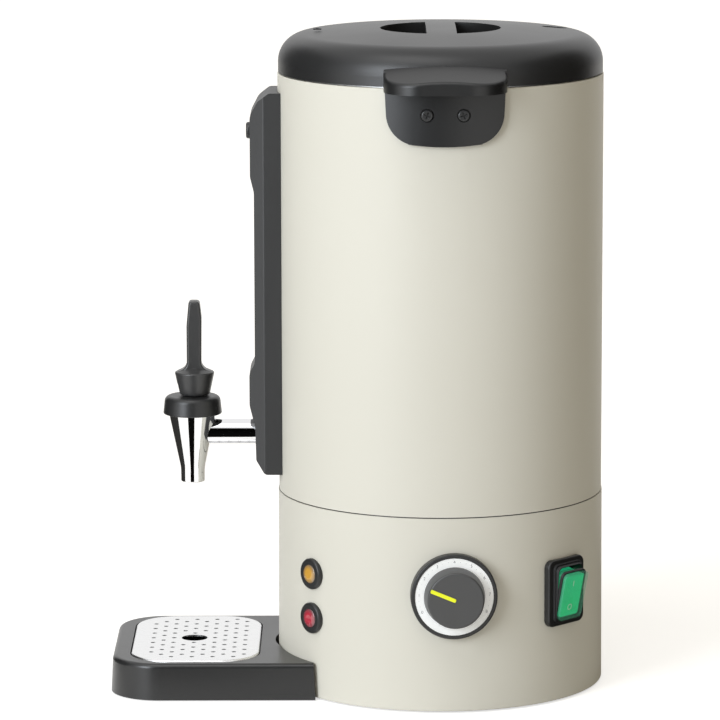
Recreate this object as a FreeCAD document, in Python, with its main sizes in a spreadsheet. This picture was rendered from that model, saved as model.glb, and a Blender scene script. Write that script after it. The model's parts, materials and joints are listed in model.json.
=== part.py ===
import FreeCAD, Part
import math
import os
import Sketcher
from FreeCAD import Placement, Rotation, Vector

# Hot water urn: a round tank on a heated base, with a side tap, a level gauge, a lift-off lid
# and a drip tray. Millimetres, +Z up. The origin is on the body's axis at the floor. The tap
# points to -X, and the controls and one handle face -Y.

# Driving sizes
SIZES = {
    # Painted shells
    "body_radius": 117.5,
    "shell_wall": 1.2,
    "shell_top": 446.0,
    "shell_lip": 7.5,
    "base_radius_top": 118.0,
    "base_radius_foot": 118.5,
    "base_wall": 1.5,
    "base_lift": 1.5,
    "base_flange": 9.5,
    "base_height": 141.2,
    "seam": 0.8,
    "seam_inset": 0.4,
    "plate_wall": 2.0,
    "plate_gap": 0.8,
    "plate_slot_length": 40.0,
    "plate_slot_width": 5.0,
    "plate_slot_pitch": 11.0,
    "plate_slot_across": 40.0,
    # Ring between the shells, which carries the tank
    "ring_wall": 2.1,
    "ring_overlap": 10.0,
    "ring_ledge": 25.0,
    "ring_ledge_wall": 4.0,
    "ring_play": 0.1,
    # Tank
    "tank_radius": 106.0,
    "tank_wall": 1.0,
    "tank_raise": 8.0,
    "tank_corner": 2.5,
    "tank_flange": 7.6,
    # Feet and base screws
    "foot_radius": 10.0,
    "foot_circle": 92.0,
    "foot_stem": 3.9,
    "foot_bead": 5.5,
    "screw_circle": 101.0,
    "screw_radius": 2.4,
    "screw_head": 4.5,
    "screw_head_wall": 1.8,
    "fit_gap": 0.2,
    # Heater
    "heater_radius": 86.0,
    "heater_wall": 5.0,
    "element_circle": 62.0,
    "element_radius": 4.0,
    "element_sweep": 310.0,
    "element_leg": 24.0,
    "element_post": 10.0,
    "element_post_radius": 1.6,
    "cutout_radius": 12.0,
    "cutout_height": 9.0,
    "blade_width": 6.0,
    "blade_wall": 1.0,
    "blade_length": 8.0,
    "blade_spread": 7.0,
    "bulb_radius": 3.0,
    "bulb_length": 60.0,
    "bulb_offset": 30.0,
    "capillary_radius": 1.0,
    "limiter_side": 30.0,
    "limiter_height": 22.0,
    "limiter_across": 30.0,
    "button_radius": 2.8,
    "button_play": 0.2,
    "button_length": 12.0,
    "button_travel": 1.2,
    "terminal_length": 42.0,
    "terminal_width": 18.0,
    "terminal_height": 16.0,
    "terminal_across": 48.0,
    "terminal_hole": 2.2,
    "terminal_hole_depth": 6.0,
    "terminal_pitch": 14.0,
    "wire_radius": 1.3,
    # Dial and thermostat
    "dial_azimuth": -86.3,
    "dial_height": 86.0,
    "dial_radius": 30.75,
    "dial_front": 6.0,
    "dial_plate_radius": 27.85,
    "dial_plate_wall": 0.8,
    "knob_radius": 21.75,
    "knob_front_radius": 20.0,
    "knob_height": 13.0,
    "knob_gap": 0.4,
    "knob_round": 1.6,
    "pointer_width": 2.8,
    "pointer_length": 19.5,
    "pointer_proud": 0.4,
    "pointer_angle": 157.0,
    "shaft_radius": 3.0,
    "shaft_play": 0.06,
    "bush_radius": 5.0,
    "nut_radius": 8.0,
    "nut_wall": 2.0,
    "nut_seat": 0.1,
    "thermostat_side": 30.0,
    "thermostat_depth": 24.0,
    "thermostat_inset": 8.0,
    # Lamps
    "lamp_azimuth": -141.7,
    "amber_height": 92.3,
    "red_height": 59.9,
    "lamp_radius": 11.2,
    "lamp_front": 3.2,
    "lamp_lens_radius": 6.8,
    "lamp_lens_proud": 1.0,
    "lamp_lens_seat": 0.6,
    "lamp_barrel": 7.5,
    "lamp_depth": 24.0,
    "lamp_nut_radius": 10.5,
    "lamp_nut_wall": 3.0,
    "lamp_nut_gap": 0.8,
    # Rocker switch
    "switch_azimuth": -42.7,
    "switch_height": 81.0,
    "switch_width": 38.5,
    "switch_tall": 48.5,
    "switch_front": 3.2,
    "switch_corner": 5.5,
    "switch_edge_round": 1.2,
    "switch_tube_wall": 1.5,
    "switch_mouth_width": 26.0,
    "switch_mouth_tall": 39.4,
    "switch_tube_depth": 10.0,
    "switch_body_depth": 20.0,
    "switch_tilt": 12.0,
    "rocker_width": 20.0,
    "rocker_tall": 31.0,
    "rocker_front": 8.0,
    "rocker_pivot": -3.0,
    "rocker_pin": 1.5,
    "rocker_pin_play": 0.06,
    "boot_wall": 1.2,
    "boot_gap": 0.8,
    "boot_back": 1.0,
    "boot_front": 10.2,
    # Cord inlet
    "gland_azimuth": 90.0,
    "gland_height": 30.0,
    "gland_radius": 9.0,
    "gland_front": 8.0,
    "gland_barrel": 6.0,
    "gland_bore": 3.6,
    "gland_depth": 14.0,
    "gland_rim": 3.0,
    "gland_lip": 2.6,
    "gland_nut_wall": 3.0,
    "gland_nut_gap": 0.6,
    # Side handles
    "handle_turn": 0.7,
    "handle_half": 43.0,
    "handle_bottom": 404.6,
    "handle_taper": 2.5,
    "handle_belly": 4.9,
    "handle_sag": 0.4,
    "handle_shoulder_round": 22.0,
    "handle_reach": 145.5,
    "handle_top": 462.0,
    "handle_lean": 16.5,
    "handle_crown": 187.0,
    "handle_flange_bottom": 444.5,
    "handle_plate_front": 121.2,
    "handle_corner": 26.0,
    "handle_edge_round": 3.0,
    "handle_clear": 0.2,
    "handle_screw_spread": 25.6,
    "handle_screw_height": 428.0,
    "handle_screw_head": 4.3,
    "handle_screw_head_wall": 2.2,
    "handle_screw_sink": 2.0,
    "handle_screw_play": 0.5,
    "handle_plate_round": 200.0,
    "recess_reach": 2.4,
    "recess_width": 0.9,
    "recess_depth": 1.3,
    "handle_screw_radius": 2.0,
    # Level gauge and its housing: its lower heights count from the tap's pipe
    "housing_half": 25.5,
    "housing_bottom": 27.6,
    "housing_top": 433.0,
    "housing_side": 127.5,
    "housing_face": 134.5,
    "housing_upper": 137.3,
    "housing_lower": 138.6,
    "housing_face_half": 17.5,
    "housing_wall": 2.5,
    "window_half": 6.5,
    "window_bottom": 60.4,
    "window_top": 353.0,
    "glass_radius": 5.0,
    "glass_wall": 1.2,
    "glass_axis": 125.6,
    "glass_bottom": 43.4,
    "glass_top": 402.0,
    "elbow_lower": 36.4,
    "elbow_upper": 409.0,
    "elbow_radius": 4.5,
    "elbow_bore": 2.5,
    "elbow_cup": 7.0,
    "elbow_inside": 6.0,
    "elbow_end": 5.0,
    "elbow_socket": 6.0,
    "seal_width": 1.0,
    "seal_length": 4.0,
    "seal_play": 0.05,
    "gauge_screw_height": 405.0,
    "gauge_screw_radius": 6.0,
    "gauge_screw_reach": 140.0,
    "gauge_screw_offset": 11.0,
    "gauge_screw_shank": 2.2,
    # Tap: the pipe's height counts from the tank's underside, and the other heights of the tap
    # from the pipe's axis, up or down
    "tap_reach": 180.5,
    "pipe_height": 32.6,
    "pipe_radius": 9.3,
    "pipe_bore": 6.0,
    "shank_radius": 8.0,
    "shank_inside": 92.0,
    "tap_nut_radius": 13.0,
    "tap_nut_wall": 5.0,
    "washer_radius": 12.0,
    "washer_wall": 2.0,
    "spout_bottom": 36.6,
    "spout_neck": 26.6,
    "spout_top": 14.9,
    "spout_radius": 17.9,
    "spout_tip_radius": 9.0,
    "spout_bore": 6.8,
    "spout_seat": 22.6,
    "spout_wall": 2.4,
    "bonnet_radius": 21.4,
    "bonnet_bottom": 13.7,
    "bonnet_top": 26.9,
    "bonnet_round": 4.0,
    "bonnet_wall": 3.0,
    "stem_radius": 3.0,
    "stem_play": 0.06,
    "stem_collar": 6.5,
    "stem_collar_wall": 1.6,
    "stem_collar_height": 6.1,
    "plug_height": 8.0,
    "spring_circle": 5.0,
    "spring_wire": 0.7,
    "spring_turns": 6.0,
    "lever_bottom": 27.2,
    "lever_half_depth": 6.0,
    "lever_shift": 1.6,
    "lever_heel_half": 10.9,
    "lever_wing_half": 14.5,
    "lever_wing": 44.2,
    "lever_neck": 47.9,
    "lever_top": 96.7,
    "lever_stem_half": 5.4,
    "lever_heel_round": 3.0,
    "lever_neck_round": 7.0,
    "lever_edge_round": 1.8,
    "lever_wing_round": 2.4,
    "lever_pivot": 34.4,
    "pin_radius": 1.5,
    "pin_half": 9.0,
    "pin_play": 0.06,
    "fork_gap": 0.3,
    "stem_eye": 3.6,
    # Lid
    "lid_radius": 117.0,
    "lid_gap": 0.9,
    "lid_apex": 478.3,
    "lid_crown_start": 48.5,
    "lid_crown": 1100.0,
    "lid_edge": 472.5,
    "lid_round": 20.0,
    "lid_wall": 2.5,
    "well_radius": 43.4,
    "well_wall": 2.6,
    "well_floor": 460.0,
    "bar_width": 21.5,
    "bar_shift": 0.25,
    "gasket_wall": 2.3,
    "gasket_width": 5.0,
    "liner_wall": 1.0,
    "liner_depth": 8.5,
    "liner_play": 1.5,
    "lid_screw_circle": 75.0,
    "lid_boss": 4.5,
    "lid_screw": 1.9,
    "lid_screw_head": 3.8,
    "lid_screw_length": 16.0,
    "lid_rib": 2.0,
    "lid_spoke_height": 8.0,
    "vent_across": 83.0,
    "vent_back": 28.0,
    "vent_width": 18.0,
    "vent_tall": 11.0,
    "vent_depth": 3.0,
    "vent_wall": 1.5,
    "vent_hole": 1.6,
    "vent_hole_spread": 7.0,
    # Drip tray and grate
    "tray_reach": 239.5,
    "tray_half": 81.0,
    "tray_bottom": 0.8,
    "tray_top": 27.2,
    "tray_draft": 3.0,
    "tray_corner": 36.0,
    "tray_round": 3.5,
    "tray_end": 91.0,
    "tray_gap": 0.6,
    "tray_bite_radius": 63.0,
    "tray_bite": 121.0,
    "tray_floor": 3.2,
    "grate_far": 225.0,
    "grate_near": 132.0,
    "grate_half": 72.5,
    "grate_corner": 30.0,
    "grate_play": 0.8,
    "grate_wall": 1.2,
    "grate_top": 28.2,
    "grate_skirt": 4.0,
    "grate_hole": 1.65,
    "grate_pitch": 15.0,
    "grate_rim": 6.0,
    "drain_radius": 9.5,
    "ledge_width": 4.0,
    "pad_radius": 6.0,
    "pad_far": 17.5,
    "pad_far_side": 29.0,
    "pad_near": 4.0,
    "pad_near_side": 19.0,
}

FEET = (45.0, 135.0, 225.0, 315.0)
BASE_SCREWS = (5.0, 125.0, 245.0)
LID_SCREWS = (90.0, 210.0, 330.0)
LID_SPOKES = 6
PLATE_SLOTS = 5

# How far a cutting tool runs past what it cuts, and the length of one that goes right through
OVERRUN = 5
THROUGH = 60

doc = FreeCAD.newDocument("hot_water_urn")
sheet = doc.addObject("Spreadsheet::Sheet", "Sizes")
for row, (name, value) in enumerate(SIZES.items(), start=1):
    sheet.set(f"A{row}", name)
    sheet.set(f"B{row}", str(value))
    sheet.setAlias(f"B{row}", name)
doc.recompute()


# Sizes as expressions
class Size:
    """A size, or a sum of sizes: the expression that a feature keeps, and its value now."""

    def __init__(self, text, value):
        self.text = text
        self.value = value

    def joined(self, sign, other, value):
        return Size(f"({self.text} {sign} {other.text})", value)

    def __add__(self, other):
        other = as_size(other)
        return self.joined("+", other, self.value + other.value)

    def __sub__(self, other):
        other = as_size(other)
        return self.joined("-", other, self.value - other.value)

    def __mul__(self, other):
        other = as_size(other)
        return self.joined("*", other, self.value * other.value)

    def __truediv__(self, other):
        other = as_size(other)
        return self.joined("/", other, self.value / other.value)

    def __radd__(self, other):
        return as_size(other) + self

    def __rsub__(self, other):
        return as_size(other) - self

    def __rmul__(self, other):
        return as_size(other) * self

    def __neg__(self):
        return Size(f"(0 - {self.text})", -self.value)


def as_size(number):
    if isinstance(number, Size):
        return number
    return Size(f"({float(number)})", float(number))


def cosine(angle):
    angle = as_size(angle)
    return Size(f"cos({angle.text})", math.cos(math.radians(angle.value)))


def sine(angle):
    angle = as_size(angle)
    return Size(f"sin({angle.text})", math.sin(math.radians(angle.value)))


def root(number):
    return Size(f"sqrt({number.text})", math.sqrt(number.value))


class Sheet:
    """The driving sizes by name, each tied to its cell."""

    def __getattr__(self, name):
        return Size(f"Sizes.{name}", sheet.get(name))


d = Sheet()


# Features
def bind(feature, **sizes):
    for name, size in sizes.items():
        feature.setExpression(name, as_size(size).text)


def spot(x=0, y=0, z=0, yaw=0, pitch=0, roll=0):
    """Where a feature's own origin goes, and how it is turned, as an expression."""
    where = "; ".join(as_size(number).text for number in (x, y, z))
    turn = "; ".join(as_size(number).text for number in (yaw, pitch, roll))
    return f"placement(vector({where}); rotation({turn}))"


def on_wall(azimuth, radius, height):
    """A spot on the wall whose own z points out of it and whose own y points up."""
    return spot(radius * cosine(azimuth), radius * sine(azimuth), height, yaw=azimuth + 90, roll=90)


def put(feature, at):
    if at:
        feature.setExpression("Placement", at)
    return feature


def rod(name, radius, length, at=None):
    feature = doc.addObject("Part::Cylinder", name)
    bind(feature, Radius=radius, Height=length)
    return put(feature, at)


def block(name, length, width, height, at=None):
    feature = doc.addObject("Part::Box", name)
    bind(feature, Length=length, Width=width, Height=height)
    return put(feature, at)


def cut(name, base, *tools, at=None):
    tool = tools[0] if len(tools) == 1 else fuse(f"{name}_cuts", *tools)
    feature = doc.addObject("Part::Cut", name)
    feature.Base = base
    feature.Tool = tool
    return put(feature, at)


def fuse(name, *shapes, at=None):
    feature = doc.addObject("Part::MultiFuse", name)
    feature.Shapes = list(shapes)
    return put(feature, at)


def group(name, *shapes, at=None):
    """Separate solids, or one solid placed a second time, kept as they are."""
    feature = doc.addObject("Part::Compound", name)
    feature.Links = list(shapes)
    return put(feature, at)


def common(name, *shapes, at=None):
    feature = doc.addObject("Part::MultiCommon", name)
    feature.Shapes = list(shapes)
    return put(feature, at)


def tube(name, radius, bore, length, at=None):
    return cut(name, rod(f"{name}_outside", radius, length), rod(f"{name}_bore", bore, length), at=at)


def origin_plane(body, role):
    return next(item for item in body.Origin.OriginFeatures if item.Role == role)


def outline(sketch, corners):
    """Lines from corner to corner, each corner (x, y) or (x, y, rounding), tied to the sizes."""
    spots = [Vector(as_size(corner[0]).value, as_size(corner[1]).value, 0) for corner in corners]
    count = len(spots)
    starts = list(spots)
    ends = [spots[(index + 1) % count] for index in range(count)]
    arcs = {}
    for index, corner in enumerate(corners):
        if len(corner) < 3:
            continue
        here = spots[index]
        back = (spots[index - 1] - here).normalize()
        ahead = (spots[(index + 1) % count] - here).normalize()
        half = back.getAngle(ahead) / 2
        rounding = as_size(corner[2]).value
        tangent = rounding / math.tan(half)
        middle = (back + ahead).normalize() * (rounding / math.sin(half)) + here
        enter = here + back * tangent
        leave = here + ahead * tangent
        ends[index - 1] = enter
        starts[index] = leave
        arcs[index] = (middle, enter, leave, rounding)
    lines = [sketch.addGeometry(Part.LineSegment(starts[index], ends[index])) for index in range(count)]

    def measure(kind, *where):
        size = as_size(where[-1])
        number = sketch.addConstraint(Sketcher.Constraint(kind, *where[:-1], size.value))
        sketch.renameConstraint(number, f"size_{number}")
        sketch.setExpression(f"Constraints.size_{number}", size.text)

    for index, corner in enumerate(corners):
        before = lines[index - 1]
        after = lines[index]
        if index not in arcs:
            sketch.addConstraint(Sketcher.Constraint("Coincident", before, 2, after, 1))
            measure("DistanceX", after, 1, corner[0])
            measure("DistanceY", after, 1, corner[1])
            continue
        middle, enter, leave, rounding = arcs[index]
        first = math.atan2(enter.y - middle.y, enter.x - middle.x)
        last = math.atan2(leave.y - middle.y, leave.x - middle.x)
        forward = (last - first) % (2 * math.pi) < math.pi
        if not forward:
            first, last = last, first
        circle = Part.Circle(middle, Vector(0, 0, 1), rounding)
        arc = sketch.addGeometry(Part.ArcOfCircle(circle, first, last))
        sketch.addConstraint(Sketcher.Constraint("Tangent", before, 2, arc, 1 if forward else 2))
        sketch.addConstraint(Sketcher.Constraint("Tangent", after, 1, arc, 2 if forward else 1))
        measure("Radius", arc, corner[2])
        point = sketch.addGeometry(Part.Point(spots[index]), True)
        sketch.addConstraint(Sketcher.Constraint("PointOnObject", point, 1, before))
        sketch.addConstraint(Sketcher.Constraint("PointOnObject", point, 1, after))
        measure("DistanceX", point, 1, corner[0])
        measure("DistanceY", point, 1, corner[1])


def sketched(name, plane, corners, start=0):
    body = doc.addObject("PartDesign::Body", name)
    sketch = body.newObject("Sketcher::SketchObject", f"{name}_sketch")
    sketch.AttachmentSupport = [(origin_plane(body, plane), "")]
    sketch.MapMode = "FlatFace"
    sketch.setExpression("AttachmentOffset", spot(z=start))
    outline(sketch, corners)
    return body, sketch


def turned(name, corners, at=None):
    """A body turned about its own z from corners (distance from the axis, height)."""
    body, sketch = sketched(name, "XZ_Plane", corners)
    feature = body.newObject("PartDesign::Revolution", f"{name}_turn")
    feature.Profile = sketch
    feature.ReferenceAxis = (sketch, ["V_Axis"])
    feature.Angle = 360
    return put(body, at)


def padded(name, corners, start, length, plane="XY_Plane", draft=None, at=None):
    """A body padded from an outline: along +Z, or towards -Y when the outline stands in XZ."""
    body, sketch = sketched(name, plane, corners, start)
    feature = body.newObject("PartDesign::Pad", f"{name}_pad")
    feature.Profile = sketch
    bind(feature, Length=length)
    if draft:
        bind(feature, TaperAngle=-draft)
    return put(body, at)


def rectangle(width, tall, rounding=None, x=0, y=0):
    ends = [(x - width / 2, y - tall / 2), (x + width / 2, y - tall / 2),
            (x + width / 2, y + tall / 2), (x - width / 2, y + tall / 2)]
    return [end + (rounding,) if rounding else end for end in ends]


def edges_where(shape, test):
    return [number for number, edge in enumerate(shape.Edges, start=1) if test(edge)]


def rounded(name, base, radius, test, at=None):
    """Base with the edges that pass the test rounded off."""
    doc.recompute()
    feature = doc.addObject("Part::Fillet", name)
    feature.Base = base
    feature.Edges = [(number, radius.value, radius.value) for number in edges_where(base.Shape, test)]
    return put(feature, at)


nodes = []


def node(feature, name):
    """Marks the feature that is a finished sub-part."""
    feature.Label = name
    nodes.append(feature)
    return feature


# Heights and radii that several pieces share
seam_top = d.base_height + d.seam
floor_under = seam_top + d.tank_raise
tank_top = d.shell_top + d.tank_wall
flange_radius = d.tank_radius + d.tank_flange
lip_radius = d.body_radius - d.shell_lip
shell_bore = d.body_radius - d.shell_wall
heater_bottom = floor_under - d.heater_wall
plate_bottom = d.base_lift + d.base_wall
plate_top = plate_bottom + d.plate_wall

# Heights that follow the tap's pipe
pipe_height = floor_under + d.pipe_height
spout_bottom = pipe_height - d.spout_bottom
spout_neck = pipe_height - d.spout_neck
spout_seat = pipe_height - d.spout_seat
spout_top = pipe_height + d.spout_top
stem_collar_height = pipe_height - d.stem_collar_height
bonnet_bottom = pipe_height + d.bonnet_bottom
bonnet_top = pipe_height + d.bonnet_top
lever_bottom = pipe_height + d.lever_bottom
lever_wing = pipe_height + d.lever_wing
lever_neck = pipe_height + d.lever_neck
lever_top = pipe_height + d.lever_top
lever_pivot = pipe_height + d.lever_pivot
housing_bottom = pipe_height - d.housing_bottom
elbow_lower = pipe_height + d.elbow_lower
glass_bottom = pipe_height + d.glass_bottom
window_bottom = pipe_height + d.window_bottom


def base_radius(height):
    """Outer radius of the slightly flared base at a height."""
    rise = (height - d.base_lift) / (d.base_height - d.base_lift)
    return d.base_radius_foot - (d.base_radius_foot - d.base_radius_top) * rise


dial_wall = base_radius(d.dial_height)
amber_wall = base_radius(d.amber_height)
red_wall = base_radius(d.red_height)
switch_wall = base_radius(d.switch_height)
gland_wall = base_radius(d.gland_height)
dial_spot = on_wall(d.dial_azimuth, dial_wall, d.dial_height)
amber_spot = on_wall(d.lamp_azimuth, amber_wall, d.amber_height)
red_spot = on_wall(d.lamp_azimuth, red_wall, d.red_height)
switch_spot = on_wall(d.switch_azimuth, switch_wall, d.switch_height)
gland_spot = on_wall(d.gland_azimuth, gland_wall, d.gland_height)
hole_depth = 3 * d.base_wall


# Upper shell
def handle_screw_spots(turn):
    """The two screw axes of a handle, pointing out of the body."""
    for side in (-1, 1):
        offset = d.handle_screw_spread / 2 * side
        reach = lip_radius - d.shell_wall
        across = turn - 90
        x = reach * cosine(across) + offset * cosine(turn)
        y = reach * sine(across) + offset * sine(turn)
        yield spot(x, y, d.handle_screw_height, yaw=turn, roll=90)


def make_outer_shell():
    wall = turned("shell_wall_body", [
        (d.body_radius, seam_top),
        (d.body_radius, d.shell_top, d.shell_wall * 0.8),
        (lip_radius, d.shell_top),
        (lip_radius, d.shell_top - d.shell_wall),
        (shell_bore, d.shell_top - d.shell_wall),
        (shell_bore, seam_top)])
    reach = d.body_radius + OVERRUN
    holes = [
        rod("shell_tap_hole", d.shank_radius + d.fit_gap, reach, spot(z=pipe_height, pitch=-90)),
        rod("shell_lower_hole", d.elbow_radius + d.fit_gap, reach, spot(z=elbow_lower, pitch=-90)),
        rod("shell_upper_hole", d.elbow_radius + d.fit_gap, reach, spot(z=d.elbow_upper, pitch=-90)),
        rod("shell_cover_hole", d.gauge_screw_shank + d.fit_gap, reach,
            spot(y=-d.gauge_screw_offset, z=d.gauge_screw_height, pitch=-90))]
    for side, turn in (("front", d.handle_turn), ("rear", d.handle_turn + 180)):
        for index, at in enumerate(handle_screw_spots(turn)):
            holes.append(rod(f"shell_{side}_hole_{index}", d.handle_screw_radius + d.fit_gap, THROUGH / 2,
                             at))
    node(cut("outer_shell", wall, *holes), "outer_shell")


# Ring between the shells
def make_seam_ring():
    outer = shell_bore - d.ring_play
    sleeve = outer - d.ring_wall
    ledge_under = floor_under - d.ring_ledge_wall
    ring = turned("ring_body", [
        (sleeve - d.ring_ledge, ledge_under),
        (sleeve, ledge_under),
        (sleeve, d.base_height - d.ring_overlap),
        (outer, d.base_height - d.ring_overlap),
        (outer, d.base_height),
        (d.body_radius - d.seam_inset, d.base_height),
        (d.body_radius - d.seam_inset, seam_top),
        (outer, seam_top),
        (outer, seam_top + d.ring_overlap),
        (sleeve, seam_top + d.ring_overlap),
        (sleeve, floor_under),
        (sleeve - d.ring_ledge, floor_under)])
    holes = [rod(f"ring_hole_{index}", d.screw_radius + d.fit_gap, d.ring_ledge_wall - 1,
                 spot(d.screw_circle * cosine(angle), d.screw_circle * sine(angle), ledge_under))
             for index, angle in enumerate(BASE_SCREWS)]
    node(cut("seam_ring", ring, *holes), "seam_ring")


# Tank
def make_inner_tank():
    inside = d.tank_radius - d.tank_wall
    pot = turned("tank_body", [
        (0, floor_under),
        (d.tank_radius, floor_under, d.tank_corner),
        (d.tank_radius, d.shell_top),
        (flange_radius, d.shell_top),
        (flange_radius, tank_top),
        (inside, tank_top),
        (inside, floor_under + d.tank_wall, d.tank_corner - d.tank_wall),
        (0, floor_under + d.tank_wall)])
    reach = d.tank_radius + OVERRUN
    holes = [
        rod("tank_tap_hole", d.shank_radius + d.fit_gap, reach, spot(z=pipe_height, pitch=-90)),
        rod("tank_lower_hole", d.elbow_radius + d.fit_gap, reach, spot(z=elbow_lower, pitch=-90)),
        rod("tank_upper_hole", d.elbow_radius + d.fit_gap, reach, spot(z=d.elbow_upper, pitch=-90))]
    node(cut("inner_tank", pot, *holes), "inner_tank")


# Base shell
def make_base_shell():
    bottom = d.base_lift
    inside_foot = d.base_radius_foot - d.base_wall
    inside_top = d.base_radius_top - d.base_wall
    wall = turned("base_wall_body", [
        (d.base_radius_foot, bottom, d.base_wall * 0.6),
        (d.base_radius_top, d.base_height),
        (inside_top, d.base_height),
        (inside_foot, bottom + d.base_wall),
        (d.base_radius_foot - d.base_flange, bottom + d.base_wall),
        (d.base_radius_foot - d.base_flange, bottom)])
    start = -hole_depth
    mouth_width = d.switch_mouth_width + 2 * d.switch_tube_wall + 2 * d.fit_gap
    mouth_tall = d.switch_mouth_tall + 2 * d.switch_tube_wall + 2 * d.fit_gap

    def drill(name, radius, azimuth, height):
        inner = base_radius(height) - hole_depth
        return rod(name, radius, 2 * hole_depth, on_wall(azimuth, inner, height))

    cuts = [
        drill("base_dial_hole", d.bush_radius + d.fit_gap, d.dial_azimuth, d.dial_height),
        drill("base_amber_hole", d.lamp_barrel + d.fit_gap, d.lamp_azimuth, d.amber_height),
        drill("base_red_hole", d.lamp_barrel + d.fit_gap, d.lamp_azimuth, d.red_height),
        drill("base_gland_hole", d.gland_barrel + d.fit_gap, d.gland_azimuth, d.gland_height),
        padded("base_switch_hole", rectangle(mouth_width, mouth_tall), start, 2 * hole_depth,
               at=switch_spot)]
    node(cut("base_shell", wall, *cuts), "base_shell")


# Base plate, feet and base screws
def make_base_plate():
    disc = rod("plate_disc", d.base_radius_foot - d.base_wall - d.plate_gap, d.plate_wall,
               spot(z=plate_bottom))
    depth = 3 * d.plate_wall
    low = plate_bottom - d.plate_wall
    cuts = []
    for index, angle in enumerate(FEET):
        cuts.append(rod(f"plate_foot_hole_{index}", d.foot_stem + d.fit_gap, depth,
                        spot(d.foot_circle * cosine(angle), d.foot_circle * sine(angle), low)))
    for index, angle in enumerate(BASE_SCREWS):
        cuts.append(rod(f"plate_screw_hole_{index}", d.screw_radius + d.fit_gap, depth,
                        spot(d.screw_circle * cosine(angle), d.screw_circle * sine(angle), low)))
    cuts.append(rod("plate_button_hole", d.button_radius + d.button_play, depth,
                    spot(0, d.limiter_across, low)))
    for index in range(PLATE_SLOTS):
        slot = rectangle(d.plate_slot_length, d.plate_slot_width, d.plate_slot_width / 2 - 0.1,
                         x=-d.plate_slot_across, y=d.plate_slot_pitch * (index - (PLATE_SLOTS - 1) / 2))
        cuts.append(padded(f"plate_slot_{index}", slot, low, depth))
    node(cut("base_plate", disc, *cuts), "base_plate")


def make_feet():
    feet = []
    for index, angle in enumerate(FEET):
        at = spot(d.foot_circle * cosine(angle), d.foot_circle * sine(angle), 0)
        bead = plate_top + 1.5
        feet.append(turned(f"foot_{index}", [
            (0, 0),
            (d.foot_radius - 1, 0, 0.8),
            (d.foot_radius, plate_bottom),
            (d.foot_stem, plate_bottom),
            (d.foot_stem, plate_top),
            (d.foot_bead, plate_top),
            (d.foot_stem, bead),
            (0, bead)], at))
    node(group("rubber_feet", *feet), "rubber_feet")


def make_base_screws():
    screws = []
    for index, angle in enumerate(BASE_SCREWS):
        at = spot(d.screw_circle * cosine(angle), d.screw_circle * sine(angle), 0)
        head = plate_bottom - d.screw_head_wall
        tip = floor_under - d.ring_ledge_wall + 2.5
        screws.append(turned(f"base_screw_{index}", [
            (0, head),
            (d.screw_head, head, 0.8),
            (d.screw_head, plate_bottom),
            (d.screw_radius, plate_bottom),
            (d.screw_radius, tip),
            (0, tip)], at))
    node(group("base_screws", *screws), "base_screws")


# Heater, cut-out and limiter
def make_heater():
    plate = rod("heater_plate", d.heater_radius, d.heater_wall, spot(z=heater_bottom))
    node(plate, "heater_plate")
    middle = heater_bottom - d.element_radius
    ring = doc.addObject("Part::Torus", "element_ring")
    bind(ring, Radius1=d.element_circle, Radius2=d.element_radius, Angle3=d.element_sweep)
    gap = (360 - d.element_sweep) / 2
    put(ring, spot(z=middle, yaw=gap))
    legs = []
    for index, angle in enumerate((gap, -gap)):
        x = d.element_circle * cosine(angle)
        y = d.element_circle * sine(angle)
        legs.append(rod(f"element_leg_{index}", d.element_radius * 0.95, d.element_leg,
                        spot(x, y, middle - d.element_leg)))
        legs.append(rod(f"element_post_{index}", d.element_post_radius, d.element_leg + d.element_post,
                        spot(x, y, middle - d.element_leg - d.element_post)))
    node(fuse("heating_element", ring, *legs), "heating_element")
    disc = rod("cutout_disc", d.cutout_radius, d.cutout_height, spot(z=heater_bottom - d.cutout_height))
    blades = [block(f"cutout_blade_{side}", d.blade_wall, d.blade_width, d.blade_length + 1,
                    spot(d.blade_spread * side - d.blade_wall / 2, -d.blade_width / 2,
                         heater_bottom - d.cutout_height - d.blade_length)) for side in (-1, 1)]
    node(fuse("thermal_cutout", disc, *blades), "thermal_cutout")


def make_limiter():
    side = d.limiter_side
    box = block("limiter_box", side, side, d.limiter_height,
                spot(-side / 2, d.limiter_across - side / 2, plate_top))
    bore = rod("limiter_bore", d.button_radius + d.button_play, d.button_length + d.button_travel,
               spot(0, d.limiter_across, plate_top - 1))
    node(cut("safety_limiter", box, bore), "safety_limiter")
    low = d.base_lift
    button = rod("reset_button", d.button_radius, d.button_length, spot(0, d.limiter_across, low))
    node(button, "reset_button")


# Routed tubes inside the base
def rounded_path(points, share=0.45):
    """Straight runs joined by tangent arcs, each as large as its two runs allow."""
    edges = []
    start = points[0]
    for index in range(1, len(points) - 1):
        here = points[index]
        back = points[index - 1] - here
        ahead = points[index + 1] - here
        reach = share * min(back.Length, ahead.Length)
        back.normalize()
        ahead.normalize()
        enter = here + back * reach
        leave = here + ahead * reach
        half = back.getAngle(ahead) / 2
        middle = (back + ahead).normalize() * (reach / math.cos(half)) + here
        crest = middle + (here - middle).normalize() * (reach * math.tan(half))
        edges.append(Part.LineSegment(start, enter).toShape())
        edges.append(Part.Arc(enter, crest, leave).toShape())
        start = leave
    edges.append(Part.LineSegment(start, points[-1]).toShape())
    return Part.Wire(edges)


def routed_tube(points, radius):
    path = rounded_path(points)
    heading = points[1] - points[0]
    section = Part.Wire([Part.Circle(points[0], heading, radius).toShape()])
    return path.makePipeShell([section], True, False)


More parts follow.
